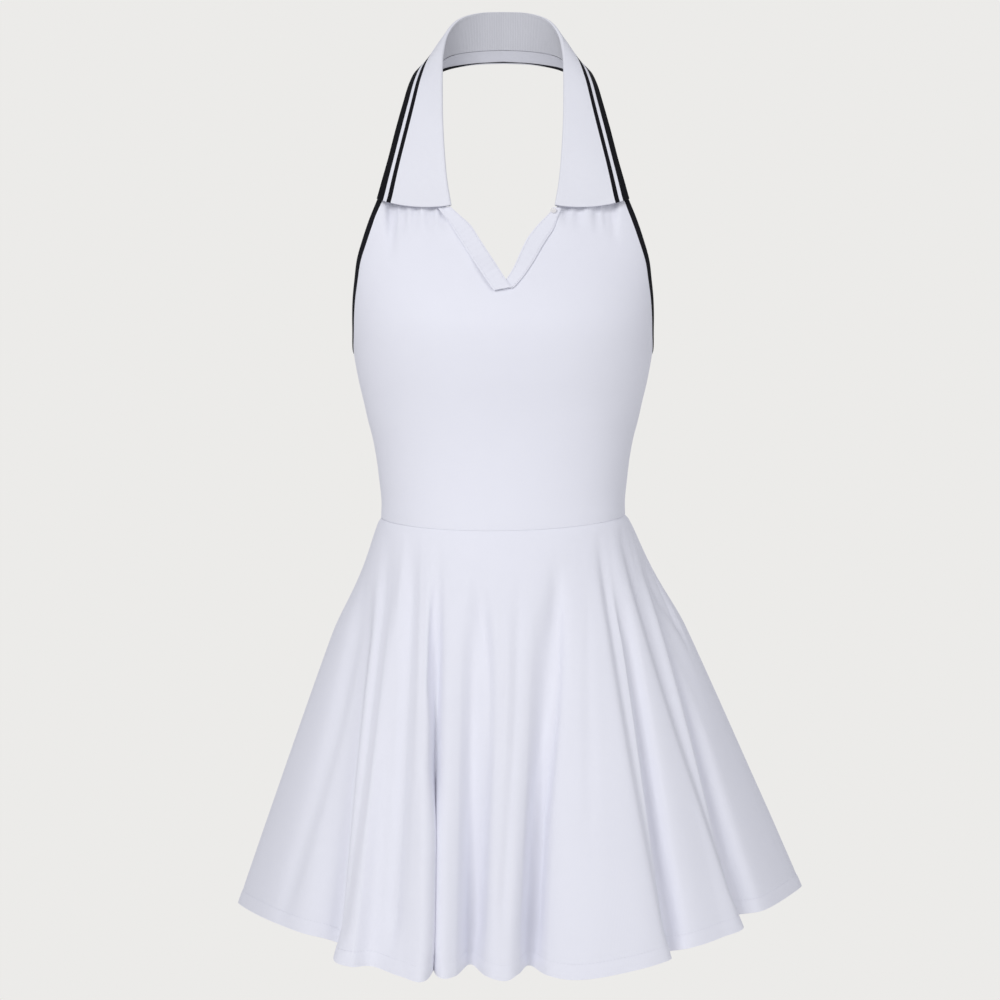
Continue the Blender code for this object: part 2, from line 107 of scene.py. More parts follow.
# Waist seam: height at the sides, dip at the front centre and tilt to one side
WAIST_Z = -427.3 * MM
WAIST_DIP = 13.5 * MM
WAIST_TILT = 1.6 * MM
WAIST_ROUND = 1.2

# Rows of the front from its top edge down: height at the armhole side and at the middle
Row = namedtuple("Row", "outer_z inner_z")
FRONT_ROWS = (
    Row(-134.2, -137.6),
    Row(-148.0, -152.0),
    Row(-163.0, -167.0),
    Row(-178.0, -184.0),
    Row(-194.0, -201.0),
    Row(-208.0, -216.8),
    Row(-223.0, -231.0),
    Row(-238.0, -245.0),
    Row(-252.0, -257.0),
    Row(-261.0, -266.0),
    Row(-268.0, -273.0),
    Row(-274.6, -281.0),
    Row(-278.4, -290.0),
    Row(-298.0, -308.0),
    Row(-325.0, -333.0),
    Row(-352.0, -360.0),
    Row(-380.0, -388.0),
    Row(-405.0, -415.0),
)
NOTCH_Z = -216.8 * MM
NOTCH_ROUND = 10 * MM
TOP_INNER_X = 50 * MM
TOP_OUTER_X = 112 * MM
GATHER_TAIL = 1.6

# Gathers under the collar: place across, depth and how far each one runs down
Gather = namedtuple("Gather", "x depth run width")
GATHERS = (
    Gather(-102.4, 2.2, 40, 4.5),
    Gather(-92.6, 1.5, 28, 4.5),
    Gather(-80.6, 1.1, 24, 4.5),
    Gather(-66.9, 1.2, 26, 5.0),
    Gather(-55.5, 1.4, 22, 4.0),
    Gather(57.6, 1.5, 18, 4.0),
    Gather(68.8, 1.0, 22, 5.0),
    Gather(86.5, 1.2, 26, 4.5),
    Gather(94.8, 1.4, 26, 4.0),
    Gather(101.2, 1.5, 30, 4.0),
)

# The V: inner edge and sewn edge of each placket band, from the collar down
Band = namedtuple("Band", "inner_x inner_z outer_x outer_z")
PLACKET_OVER = (
    Band(-47.7, -144.8, -59.0, -146.2),
    Band(-44.7, -147.9, -55.0, -151.8),
    Band(-38.2, -153.9, -49.2, -159.1),
    Band(-29.2, -162.6, -42.5, -170.4),
    Band(-22.3, -173.6, -35.6, -181.7),
    Band(-14.5, -186.3, -27.2, -195.4),
    Band(-7.2, -197.7, -19.2, -207.6),
    Band(1.8, -212.6, -11.6, -219.6),
    Band(8.1, -220.9, -8.1, -224.1),
)
PLACKET_UNDER = (
    Band(45.2, -145.4, 53.0, -146.8),
    Band(42.0, -151.0, 49.5, -155.0),
    Band(33.7, -159.7, 45.5, -165.8),
    Band(26.4, -168.5, 39.1, -176.1),
    Band(20.9, -176.7, 33.6, -185.3),
    Band(15.1, -189.4, 27.2, -197.0),
    Band(9.0, -203.3, 19.4, -209.1),
    Band(2.4, -214.2, 11.6, -219.1),
    Band(-2.4, -219.2, 7.7, -222.6),
)
BAND_CLEAR = 0.8 * MM
OVERLAP_TOP = -191 * MM
OVERLAP_FULL = -208 * MM

# Collar and neckband: four lines from the nape to the front end of the right side
Station = namedtuple(
    "Station",
    "fold_x fold_y fold_z edge_x edge_y edge_z seam_x seam_y seam_z low_x low_y low_z bind",
)
COLLAR = (
    Station(0.0, 2.0, 48.3, 0.0, 13.0, 5.9, 0.0, 0.0, 13.9, 0.0, 1.0, 1.6, 1.5),
    Station(22.4, -2.0, 46.7, 27.4, 9.0, 4.8, 22.1, -4.0, 12.3, 22.4, -3.2, -0.2, 2.0),
    Station(41.1, -14.0, 39.4, 51.5, -6.0, 2.3, 41.6, -16.0, 8.2, 42.6, -15.2, -4.8, 2.6),
    Station(52.5, -30.0, 24.8, 67.7, -28.0, -2.2, 53.5, -32.0, 1.8, 56.0, -31.5, -10.7, 3.6),
    Station(56.9, -46.0, 6.9, 80.2, -48.0, -10.9, 58.1, -48.0, -7.4, 70.2, -50.0, -18.7, 4.6),
    Station(57.9, -61.0, -12.6, 87.2, -62.0, -25.3, 60.4, -62.0, -24.3, 82.4, -63.0, -31.4, 5.2),
    Station(57.7, -76.0, -36.0, 93.0, -75.0, -46.8, 61.1, -75.0, -45.8, 89.6, -73.0, -51.6, 5.2),
    Station(57.2, -90.0, -61.5, 99.1, -86.0, -71.0, 60.8, -87.0, -69.1, 96.3, -82.5, -74.0, 5.2),
    Station(55.6, -102.0, -90.5, 105.7, -95.0, -98.7, 59.1, -98.5, -96.1, 103.2, -90.0, -100.6, 5.2),
    Station(53.1, -110.8, -119.0, 111.5, -101.0, -120.5, 56.5, -106.6, -122.5, 109.8, -94.6, -122.3, 5.2),
    Station(49.0, -117.6, -144.2, 115.7, -104.4, -136.6, 52.9, -115.4, -145.0, 116.2, -98.2, -139.3, 5.2),
)
FOLD_RADIUS = 2.0 * MM
FALL_ROLL = 1.6 * MM
LEAF_END_BOW = 4.6 * MM
LEAF_END_ROUND = 0.8
STATION_STEP = 0.2
STAND_SHARE = 0.3
FOLD_SHARE = 0.3
NECKBAND_END = 9.6

# Skirt: one row for each turn of the hem, with the place on the waist that it hangs from
Fold = namedtuple("Fold", "waist_deg x y z")
FRONT_HEM = (
    Fold(-90, -244.6, -60, -789),
    Fold(-84, -219.0, -122, -793),
    Fold(-78, -183.0, -163, -801),
    Fold(-72, -148.0, -179, -809),
    Fold(-67, -151.0, -198, -819),
    Fold(-58, -135.0, -212, -825),
    Fold(-49, -114.0, -205, -826),
    Fold(-43, -91.5, -220, -832),
    Fold(-35, -67.2, -222, -834),
    Fold(-31, -61.6, -188, -822),
    Fold(-27, -57.5, -212, -832),
    Fold(-19, -42.5, -214, -833),
    Fold(-12, -29.5, -190, -826),
    Fold(-5, -16.0, -216, -832),
    Fold(5, 2.0, -223, -836),
    Fold(15, 13.5, -214, -831),
    Fold(25, 25.0, -192, -827),
    Fold(31, 38.5, -214, -832),
    Fold(37, 59.5, -223, -835),
    Fold(45, 99.0, -220, -831),
    Fold(50, 135.5, -207, -824),
    Fold(53, 150.5, -194, -820),
    Fold(56, 143.5, -179, -818),
    Fold(63, 168.0, -178, -813),
    Fold(71, 197.0, -160, -806),
    Fold(76, 218.0, -141, -799),
    Fold(79, 211.0, -126, -792),
    Fold(84, 238.0, -112, -788),
    Fold(90, 273.0, -60, -776),
)
BACK_HEM = (
    Fold(90, 273.0, -60, -776),
    Fold(104, 258.0, 4, -783),
    Fold(115, 224.0, 50, -800),
    Fold(123, 197.0, 44, -806),
    Fold(132, 180.0, 78, -812),
    Fold(142, 141.0, 96, -818),
    Fold(149, 119.0, 80, -818),
    Fold(157, 101.0, 106, -822),
    Fold(168, 64.0, 116, -825),
    Fold(175, 41.0, 93, -822),
    Fold(182, 20.0, 116, -826),
    Fold(192, -22.0, 120, -828),
    Fold(200, -45.0, 96, -825),
    Fold(208, -68.0, 114, -826),
    Fold(218, -108.0, 104, -824),
    Fold(226, -129.0, 80, -820),
    Fold(234, -150.0, 90, -818),
    Fold(244, -190.0, 62, -812),
    Fold(251, -206.0, 36, -806),
    Fold(259, -233.0, 12, -798),
    Fold(270, -244.6, -60, -789),
)
SMOOTH_SPAN_DEG = 24
FOLD_START = 0.05
FOLD_FULL = 0.30
HIP_BULGE = 0.062
HIP_HIGH = 0.55

BUTTON_RADIUS = 2.7 * MM
BUTTON_THICK = 1.6 * MM
BUTTON_X = 45.6 * MM
BUTTON_Z = -149.4 * MM

UNDER_BINDING = 2.2 * MM


def smooth_curve(value, places, heights):
    """Height at value on a smooth curve through the pairs; places must rise."""
    places = np.asarray(places, float)
    heights = np.asarray(heights, float)
    slopes = np.gradient(heights, places)
    value = min(max(value, places[0]), places[-1])
    i = int(np.clip(np.searchsorted(places, value) - 1, 0, len(places) - 2))
    span = places[i + 1] - places[i]
    t = (value - places[i]) / span
    start = (1 + 2 * t) * (1 - t) ** 2 * heights[i] + t * (1 - t) ** 2 * span * slopes[i]
    end = t * t * (3 - 2 * t) * heights[i + 1] + t * t * (t - 1) * span * slopes[i + 1]
    return float(start + end)


def ease(value, low, high):
    """0 below low, 1 above high, and a soft step between them."""
    t = min(max((value - low) / (high - low), 0.0), 1.0)
    return t * t * (3 - 2 * t)


def mix(a, b, t):
    return a + (b - a) * t


@lru_cache(maxsize=None)
def torso_size(z):
    """Half width, front depth and back depth of the figure at height z."""
    heights = [row.z * MM for row in TORSO]
    return [smooth_curve(z, heights, [row[i] * MM for row in TORSO]) for i in (1, 2, 3)]


def torso_point(azimuth, z, out=0.0):
    """Point on the figure, azimuth 0 at the front and growing to +X, moved out."""
    half_width, front, back = torso_size(z)
    forward = cos(azimuth)
    if forward >= 0:
        y = AXIS_Y - front * forward**FRONT_FLATNESS
    else:
        y = AXIS_Y + back * abs(forward) ** FRONT_FLATNESS
    away = Vector((sin(azimuth), -forward * half_width / front, 0)).normalized()
    return Vector((half_width * sin(azimuth), y, z)) + away * out


def azimuth_at(x, z):
    half_width = torso_size(z)[0]
    return asin(min(max(x / half_width, -1.0), 1.0))


def gather_relief(x, z):
    """How far the gathers push the front in, deepest at its top edges."""
    top = mix(FRONT_ROWS[0].inner_z, FRONT_ROWS[0].outer_z, ease(abs(x), TOP_INNER_X, TOP_OUTER_X)) * MM
    below = max(top - z, 0.0)
    relief = 0.0
    for fold in GATHERS:
        across = (x - fold.x * MM) / (fold.width * MM)
        fade = 1 - ease(below, 0, fold.run * MM * GATHER_TAIL)
        relief -= fold.depth * MM * np.exp(-across * across) * fade
    return relief


def front_point(x, z, out=0.0):
    return torso_point(azimuth_at(x, z), z, out + gather_relief(x, z))


def armhole_line(place):
    """Azimuth and height of the armhole edge; place counts the rows from the underarm."""
    numbers = list(range(len(ARMHOLE)))
    deg = smooth_curve(place, numbers, [row.deg for row in ARMHOLE])
    return radians(deg), smooth_curve(place, numbers, [row.z * MM for row in ARMHOLE])


@lru_cache(maxsize=None)
def armhole_inset(place, width):
    """Azimuth and height of a point a width inside the armhole edge."""
    azimuth, z = armhole_line(place)
    upper = armhole_line(min(place + PLACE_STEP, ARMHOLE_TOP))
    lower = armhole_line(max(place - PLACE_STEP, 0))
    run = (torso_point(azimuth, z) - torso_point(azimuth - TURN_STEP, z)).length / TURN_STEP
    along = Vector(((upper[0] - lower[0]) * run, upper[1] - lower[1])).normalized()
    return azimuth - along.y * width / run, z + along.x * width


def waist_z(azimuth):
    front = max(cos(azimuth), 0.0) ** WAIST_ROUND
    return WAIST_Z - WAIST_DIP * front + WAIST_TILT * sin(azimuth)


def waist_point(azimuth, out=0.0):
    return torso_point(azimuth, waist_z(azimuth), out)


def band_lines(rows):
    """The rows of a placket as two curves of (x, z) over the rows' own numbers."""
    numbers = list(range(len(rows)))

    def at(place, across):
        values = [smooth_curve(place, numbers, [row[i] * MM for row in rows]) for i in range(4)]
        return mix(values[0], values[2], across), mix(values[1], values[3], across)

    return at


@lru_cache(maxsize=None)
def cut_x(rows, z):
    """Where the front's own V edge runs, under the placket band."""
    cover = sorted(((r.inner_z + r.outer_z) / 2 * MM, (r.inner_x + r.outer_x) / 2 * MM) for r in rows)
    heights = [place[0] for place in cover]
    if z <= NOTCH_Z:
        return 0.0
    cut = smooth_curve(z, heights, [place[1] for place in cover])
    return cut * ease(z, NOTCH_Z, NOTCH_Z + NOTCH_ROUND)


@lru_cache(maxsize=None)
def collar_lines(place):
    """Fold, outer edge, seam and lower neckband line at a station number, right side."""
    numbers = list(range(len(COLLAR)))
    row = [smooth_curve(place, numbers, [s[i] * MM for s in COLLAR]) for i in range(13)]
    return Vector(row[0:3]), Vector(row[3:6]), Vector(row[6:9]), Vector(row[9:12]), row[12]


def mirrored(point, side):
    return Vector((point.x * side, point.y, point.z))


def collar_point(u, v):
    """Collar from its left end round the nape to its right end, from seam to outer edge."""
    last = len(COLLAR) - 1
    place = (u * 2 - 1) * last
    side = 1 if place >= 0 else -1
    place = abs(place)
    fold, edge, seam, _, _ = collar_lines(place)
    ahead = collar_lines(min(place + STATION_STEP, last))[0]
    behind = collar_lines(max(place - STATION_STEP, 0))[0]
    along = (ahead - behind).normalized() if place > STATION_STEP else Vector((1, 0, 0))
    outward = along.cross(edge - fold).normalized()
    top = -((edge - fold).normalized() + (seam - fold).normalized())
    top = (top - top.dot(along) * along - top.dot(outward) * outward).normalized()
    stand_end = STAND_SHARE
    fall_start = STAND_SHARE + FOLD_SHARE
    if v <= stand_end:
        point = seam.lerp(fold - outward * FOLD_RADIUS, v / stand_end)
    elif v < fall_start:
        turn = pi * (v - stand_end) / FOLD_SHARE
        point = fold + (top * sin(turn) - outward * cos(turn)) * FOLD_RADIUS
    else:
        share = (v - fall_start) / (1 - fall_start)
        point = (fold + outward * FOLD_RADIUS).lerp(edge, share)
        point += outward * FALL_ROLL * sin(pi * share)
        point.z -= ease(place, last - 2, last) * LEAF_END_BOW * sin(pi * share) ** LEAF_END_ROUND
    return mirrored(point, side)


def hem_curve(rows):
    """Hem place, and the softly averaged hem place, over the waist azimuth."""
    degrees = [row.waist_deg for row in rows]
    columns = [[row[i] * MM for row in rows] for i in (1, 2, 3)]

    def place(deg):
        return Vector([smooth_curve(deg, degrees, column) for column in columns])

    return place


def closed_hem():
    """Front and back hem rows as one loop that runs a little past both its ends."""
    loop = list(FRONT_HEM[:-1]) + list(BACK_HEM[:-1])
    before = [row._replace(waist_deg=row.waist_deg - 360) for row in loop[-3:]]
    after = [row._replace(waist_deg=row.waist_deg + 360) for row in loop[:3]]
    return hem_curve(before + loop + after)


HEM = closed_hem()


def wrapped(deg):
    return (deg + 90) % 360 - 90


def hem_average(deg):
    """Mean of the hem over a wide span, which is the skirt with its folds ironed out."""
    steps = np.linspace(-SMOOTH_SPAN_DEG, SMOOTH_SPAN_DEG, 9)
    total = Vector((0, 0, 0))
    for step in steps:
        total += HEM(wrapped(deg + step))
    return total / len(steps)


@lru_cache(maxsize=None)
def skirt_column(deg):
    """Waist place, hem without its folds, and hem, for one column of the skirt."""
    return waist_point(radians(deg)), hem_average(deg), HEM(wrapped(deg))


def fine_skirt_point(deg, down):
    """Point of the skirt: down is 0 at the waist seam and 1 at the hem."""
    top, plain, hem = skirt_column(deg)
    grown = down * ease(down, FOLD_START, FOLD_FULL)
    flare = down + HIP_BULGE * sin(pi * down**HIP_HIGH)
    point = top.lerp(plain, down)
    point.x = mix(top.x, plain.x, flare) + (hem.x - plain.x) * grown
    point.y = mix(top.y, plain.y, flare) + (hem.y - plain.y) * grown
    point.z += (hem.z - plain.z) * grown
    return point


def panel_edge():
    """Heights and azimuths of the front panel's edge beside the binding, from below."""
    places = np.linspace(0, ARMHOLE_TOP, 40)
    inner = [armhole_inset(place, BINDING_WIDTH - UNDER_BINDING) for place in places]
    return [point[1] for point in inner], [point[0] for point in inner]


PANEL_EDGE = panel_edge()


def front_outer_azimuth(z):
    """Edge of the front panel: beside the binding, then at the side seam."""
    side_seam = pi / 2 - SEAM_GAP / 2 / torso_size(z)[0]
    if z < PANEL_EDGE[0][0]:
        return side_seam
    return min(float(np.interp(z, *PANEL_EDGE)), side_seam)


def back_top_z(azimuth):
    """Height of the back's bound top edge, lowest at the centre back."""
    return UNDERARM_Z - BACK_DIP * max(-cos(azimuth), 0.0) ** BACK_ROUND


def under_lift(z):
    return CLOTH + BAND_CLEAR


def over_lift(z):
    raised = 1 - ease(z, OVERLAP_FULL, OVERLAP_TOP)
    return under_lift(z) + raised * (CLOTH + BAND_CLEAR)


def armhole_binding_place(side):
    """Place function of one binding: nape, outer edge of the neckband, armhole, side."""
    def on_neck(place, across):
        _, _, seam, low, bind = collar_lines(place)
        inward = (seam - low).normalized()
        return low + inward * bind * across

    def on_armhole(place, across):
        return torso_point(*armhole_inset(place, BINDING_WIDTH * across))

    def place(u, v):
        along = u if side > 0 else 1 - u
        across = 1 - v
        if along <= NECK_SHARE:
            point = on_neck(along / NECK_SHARE * NECKBAND_END, across)
        else:
            share = (along - NECK_SHARE) / (1 - NECK_SHARE)
            join = on_neck(NECKBAND_END, across) - on_armhole(ARMHOLE_TOP, across)
            point = on_armhole((1 - share) * ARMHOLE_TOP, across) + join * (1 - ease(share, 0, JOIN_SHARE))
        point.x = max(point.x, NAPE_GAP)
        return mirrored(point, side)

    return place


# Finer relief that the fine shells add to the form
Crease = namedtuple("Crease", "top_deg hem_deg start end depth width_deg")
CREASES = (
    Crease(-79.0, -76.0, 0.10, 0.95, 1.6, 2.4),
    Crease(-64.0, -62.0, 0.08, 0.60, 1.2, 2.0),
    Crease(-38.0, -39.0, 0.06, 0.55, 1.0, 1.6),
    Crease(0.0, 1.0, 0.10, 0.75, 1.2, 2.2),
    Crease(41.0, 41.5, 0.12, 0.85, 1.2, 2.0),
    Crease(59.0, 60.0, 0.14, 0.80, 1.4, 2.2),
    Crease(82.0, 86.5, 0.08, 0.55, 2.2, 2.2),
    Crease(97.0, 96.0, 0.10, 0.80, 2.4, 3.0),
    Crease(127.0, 127.0, 0.07, 0.80, 3.0, 2.2),
    Crease(162.0, 163.0, 0.06, 0.85, 3.2, 2.4),
    Crease(187.0, 187.0, 0.08, 0.80, 2.6, 2.2),
    Crease(213.0, 212.0, 0.06, 0.90, 3.2, 2.4),
    Crease(239.0, 240.0, 0.07, 0.75, 2.8, 2.0),
    Crease(264.0, 264.0, 0.10, 0.80, 2.2, 2.6),
    Crease(111.0, 112.5, 0.05, 0.60, 2.4, 1.8),
    Crease(145.0, 143.0, 0.05, 0.55, 2.2, 1.8),
    Crease(175.5, 174.0, 0.04, 0.50, 2.0, 1.6),
    Crease(200.0, 201.5, 0.05, 0.60, 2.4, 1.8),
    Crease(227.0, 225.5, 0.04, 0.50, 2.2, 1.6),
    Crease(251.0, 252.0, 0.05, 0.60, 2.2, 1.8),
)

# Creases of the front, as lines of x and z seen from the camera on the plane of the side seams
FrontCrease = namedtuple("FrontCrease", "line depth left right")
FRONT_CREASES = (
    FrontCrease(((-107, -461), (-128, -636), (-155, -825)), 5.6, 7, 10),
    FrontCrease(((-85, -459), (-91, -599), (-96, -690), (-104, -820)), 5.4, 6, 8),
    FrontCrease(((-60, -466), (-64, -540), (-66, -599)), 3.0, 6, 6),
    FrontCrease(((-66, -680), (-66, -760), (-65, -850)), -6.0, 9, 9),
    FrontCrease(((-23, -488), (-15, -599), (-21, -700), (-28, -829)), 5.2, 6, 9),
    FrontCrease(((51, -480), (49, -574), (33, -721), (26, -829)), 5.2, 8, 7),
    FrontCrease(((91, -459), (122, -644), (158, -829)), 4.8, 5, 11),
    FrontCrease(((112, -449), (152, -584), (222, -794)), 5.4, 4.5, 11),
    FrontCrease(((134, -480), (150, -508), (182, -558), (215, -640)), 3.0, 4, 7),
    FrontCrease(((-128, -500), (-150, -600), (-205, -800)), 2.8, 7, 7),
    FrontCrease(((14, -500), (12, -600), (6, -700), (0, -800)), 2.4, 6, 6),
)
CREASE_FADE = 26 * MM
CAMERA_DISTANCE = 3.0
CAMERA_Z = -412.9 * MM


def front_creases(point):
    """Depth of the front's creases at a point, by where the camera sees it."""
    nearer = CAMERA_DISTANCE / (CAMERA_DISTANCE + point.y - AXIS_Y)
    seen_x = point.x * nearer
    seen_z = CAMERA_Z + (point.z - CAMERA_Z) * nearer
    depth = 0.0
    for crease in FRONT_CREASES:
        heights = [z * MM for _, z in crease.line]
        if not heights[-1] - CREASE_FADE < seen_z < heights[0] + CREASE_FADE:
            continue
        line = smooth_curve(seen_z, heights[::-1], [x * MM for x, _ in crease.line[::-1]])
        width = (crease.left if seen_x < line else crease.right) * MM
        across = (seen_x - line) / width
        fade = ease(heights[0] + CREASE_FADE - seen_z, 0, 3 * CREASE_FADE)
        fade *= ease(seen_z - heights[-1] + CREASE_FADE, 0, 2 * CREASE_FADE)
        depth += crease.depth * MM * fade * float(np.exp(-across * across))
    return depth


SKIRT_LENGTH = 390 * MM
HEM_DEPTH = 13 * MM
HEM_RAISE = 0.35 * MM
STITCH_GROOVE = 0.6 * MM
SEAM_SINK = 0.22 * MM
SEAM_SOFT = 2.0 * MM

# The flat cut of each sheet: width, length, area and how the dress holds it
Cut = namedtuple("Cut", "width length area held rests_on")
CUTS = {
    "bodice_front": Cut(0.375, 0.320, 0.0880, "stretched", ("neckband", "binding_left", "binding_right")),
    "bodice_back": Cut(0.350, 0.156, 0.0425, "stretched", ("bodice_front",)),
    "neckband": Cut(0.455, 0.056, 0.0110, "folded", ("binding_left",)),
    "collar": Cut(0.515, 0.085, 0.0303, "folded", ("neckband",)),
    "placket_over": Cut(0.105, 0.016, 0.0016, "folded", ("bodice_front",)),
    "placket_under": Cut(0.105, 0.014, 0.00135, "folded", ("bodice_front",)),
    "binding_right": Cut(0.393, 0.010, 0.0023, "folded", ("bodice_front", "neckband")),
    "binding_left": Cut(0.393, 0.010, 0.0023, "folded", ("bodice_front", "neckband")),
    "binding_back": Cut(0.366, 0.010, 0.0022, "folded", ("bodice_back",)),
    "skirt_front": Cut(0.806, 0.456, 0.2400, "draped", ("bodice_front",)),
    "skirt_back": Cut(0.760, 0.451, 0.2260, "draped", ("bodice_back",)),
}


class DressSizes(bpy.types.PropertyGroup):
    """Sizes that a user of the dress would change."""

    cloth: bpy.props.FloatProperty(
        name="Cloth", description="Thickness of the jersey", default=0.0009, min=0.0003, unit="LENGTH"
    )
    rib: bpy.props.FloatProperty(
        name="Rib knit", description="Thickness of the collar", default=0.0014, min=0.0005, unit="LENGTH"
    )
    stitch: bpy.props.FloatProperty(
        name="Stitch", description="Pitch of the topstitching", default=0.0032, min=0.001, unit="LENGTH"
    )
    outer_stripe: bpy.props.FloatProperty(
        name="Outer stripe", description="Black stripe at the collar edge", default=0.0060, unit="LENGTH"
    )
    white_stripe: bpy.props.FloatProperty(
        name="White stripe", description="White between the black stripes", default=0.0032, unit="LENGTH"
    )
    inner_stripe: bpy.props.FloatProperty(
        name="Inner stripe", description="Second black stripe", default=0.0041, unit="LENGTH"
    )
    camera_distance: bpy.props.FloatProperty(
        name="Camera distance", description="From the dress's side seams", default=3.0, unit="LENGTH"
    )


class DressColours(bpy.types.PropertyGroup):
    """Colours of the cloth, the trims and the backdrop."""

    jersey: bpy.props.FloatVectorProperty(
        name="Jersey", description="Cool white jersey", default=(0.86, 0.865, 0.935), subtype="COLOR"
    )
    rib_knit: bpy.props.FloatVectorProperty(
        name="Rib knit", description="White of the collar", default=(0.83, 0.835, 0.89), subtype="COLOR"
    )
    black: bpy.props.FloatVectorProperty(
        name="Black", description="Stripes and binding", default=(0.006, 0.006, 0.008), subtype="COLOR"
    )
    thread: bpy.props.FloatVectorProperty(
        name="Thread", description="Topstitching", default=(0.82, 0.82, 0.89), subtype="COLOR"
    )
    pearl: bpy.props.FloatVectorProperty(
        name="Pearl", description="Button", default=(0.86, 0.84, 0.82), subtype="COLOR"
    )
    ground: bpy.props.FloatVectorProperty(
        name="Ground", description="Backdrop and floor", default=(0.838, 0.831, 0.815), subtype="COLOR"
    )


def sizes():
    return bpy.context.scene.dress_sizes


def colours():
    return bpy.context.scene.dress_colours


def new_group(name, inputs, outputs):
    """A new empty shader group with named sockets, and its input and output nodes."""
    group = bpy.data.node_groups.new(name, "ShaderNodeTree")
    kinds = {"number": "NodeSocketFloat", "colour": "NodeSocketColor", "vector": "NodeSocketVector"}
    for label, kind, default in inputs:
        socket = group.interface.new_socket(label, in_out="INPUT", socket_type=kinds[kind])
        if default is not None:
            socket.default_value = default
    for label, kind in outputs:
        group.interface.new_socket(label, in_out="OUTPUT", socket_type=kinds[kind])
    entry = group.nodes.new("NodeGroupInput")
    leave = group.nodes.new("NodeGroupOutput")
    entry.location = (-900, 0)
    leave.location = (600, 0)
    return group, entry, leave


def maths(tree, operation, first, second=None, third=None):
    """A Math node whose inputs are sockets or numbers; returns its output."""
    node = tree.nodes.new("ShaderNodeMath")
    node.operation = operation
    for place, value in enumerate((first, second, third)):
        if value is None:
            continue
        if isinstance(value, (int, float)):
            node.inputs[place].default_value = value
        else:
            tree.links.new(value, node.inputs[place])
    return node.outputs[0]


def blend_colour(tree, share, first, second):
    """A colour mix; share, first and second are sockets or values."""
    node = tree.nodes.new("ShaderNodeMix")
    node.data_type = "RGBA"
    for socket, value in ((node.inputs[0], share), (node.inputs[6], first), (node.inputs[7], second)):
        if hasattr(value, "is_output"):
            tree.links.new(value, socket)
        elif isinstance(value, float):
            socket.default_value = value
        else:
            socket.default_value = (*value[:3], 1.0)
    return node.outputs[2]


def knit_group():
    """Rows of small interlocking loops, on a map that is laid out in metres."""
    name = "knitted loops"
    if name in bpy.data.node_groups:
        return bpy.data.node_groups[name]
    inputs = [("Map", "vector", None), ("Wales", "number", 1100.0), ("Courses", "number", 1300.0)]
    group, entry, leave = new_group(name, inputs, [("Height", "number"), ("Mask", "number")])
    split = group.nodes.new("ShaderNodeSeparateXYZ")
    group.links.new(entry.outputs["Map"], split.inputs[0])
    across = maths(group, "MULTIPLY", split.outputs[0], entry.outputs["Wales"])
    along = maths(group, "MULTIPLY", split.outputs[1], entry.outputs["Courses"])
    rib = maths(group, "ABSOLUTE", maths(group, "SINE", maths(group, "MULTIPLY", across, pi)))
    bend = maths(group, "MULTIPLY", rib, 0.5)
    loop = maths(group, "SINE", maths(group, "MULTIPLY", maths(group, "ADD", along, bend), 2 * pi))
    loop = maths(group, "MULTIPLY_ADD", loop, 0.35, 0.65)
    height = maths(group, "MULTIPLY", rib, loop)
    group.links.new(height, leave.inputs["Height"])
    # Mask is high in the hollows between the loops, where the jersey's colour gets painted shade.
    group.links.new(maths(group, "SUBTRACT", 1.0, height), leave.inputs["Mask"])
    return group


def tone_group():
    """Faint uneven tone of worn-in cloth, and the same as a mask for its gloss."""
    name = "uneven tone"
    if name in bpy.data.node_groups:
        return bpy.data.node_groups[name]
    inputs = [
        ("Place", "vector", None),
        ("Colour", "colour", (0.8, 0.8, 0.8, 1.0)),
        ("Shade", "colour", (0.7, 0.7, 0.7, 1.0)),
        ("Scale", "number", 14.0),
    ]
    outputs = [("Colour", "colour"), ("Mask", "number")]
    group, entry, leave = new_group(name, inputs, outputs)
    noise = group.nodes.new("ShaderNodeTexNoise")
    noise.inputs["Detail"].default_value = 3.0
    group.links.new(entry.outputs["Place"], noise.inputs["Vector"])
    group.links.new(entry.outputs["Scale"], noise.inputs["Scale"])
    fibre = group.nodes.new("ShaderNodeTexNoise")
    fibre.inputs["Scale"].default_value = 900.0
    fibre.inputs["Detail"].default_value = 2.0
    group.links.new(entry.outputs["Place"], fibre.inputs["Vector"])
    soft = maths(group, "MULTIPLY_ADD", noise.outputs[0], 0.8, maths(group, "MULTIPLY", fibre.outputs[0], 0.2))
    share = maths(group, "SMOOTH_MIN", maths(group, "MULTIPLY", soft, 0.55), 1.0, 0.1)
    group.links.new(
        blend_colour(group, share, entry.outputs["Colour"], entry.outputs["Shade"]), leave.inputs["Colour"]
    )
    group.links.new(soft, leave.inputs["Mask"])
    return group


def add_group(tree, group, **values):
    node = tree.nodes.new("ShaderNodeGroup")
    node.node_tree = group
    for label, value in values.items():
        socket = node.inputs[label.replace("_", " ")]
        if hasattr(value, "is_output"):
            tree.links.new(value, socket)
        else:
            socket.default_value = value
    return node


def shaded(colour, amount):
    return (*(channel * amount for channel in colour), 1.0)


def start_material(name, roughness, sheen, specular=0.25):
    """A material with its Principled shader, its map and its place in the dress."""
    made = bpy.data.materials.new(name)
    made.use_nodes = True
    tree = made.node_tree
    shader = tree.nodes["Principled BSDF"]
    shader.inputs["Roughness"].default_value = roughness
    shader.inputs["Sheen Weight"].default_value = sheen
    shader.inputs["Sheen Roughness"].default_value = 0.5
    shader.inputs["Specular IOR Level"].default_value = specular
    where = tree.nodes.new("ShaderNodeTexCoord")
    return made, tree, shader, where.outputs["UV"], where.outputs["Object"]


def add_bump(tree, shader, height, strength, distance):
    bump = tree.nodes.new("ShaderNodeBump")
    bump.inputs["Strength"].default_value = strength
    bump.inputs["Distance"].default_value = distance
    tree.links.new(height, bump.inputs["Height"])
    tree.links.new(bump.outputs[0], shader.inputs["Normal"])


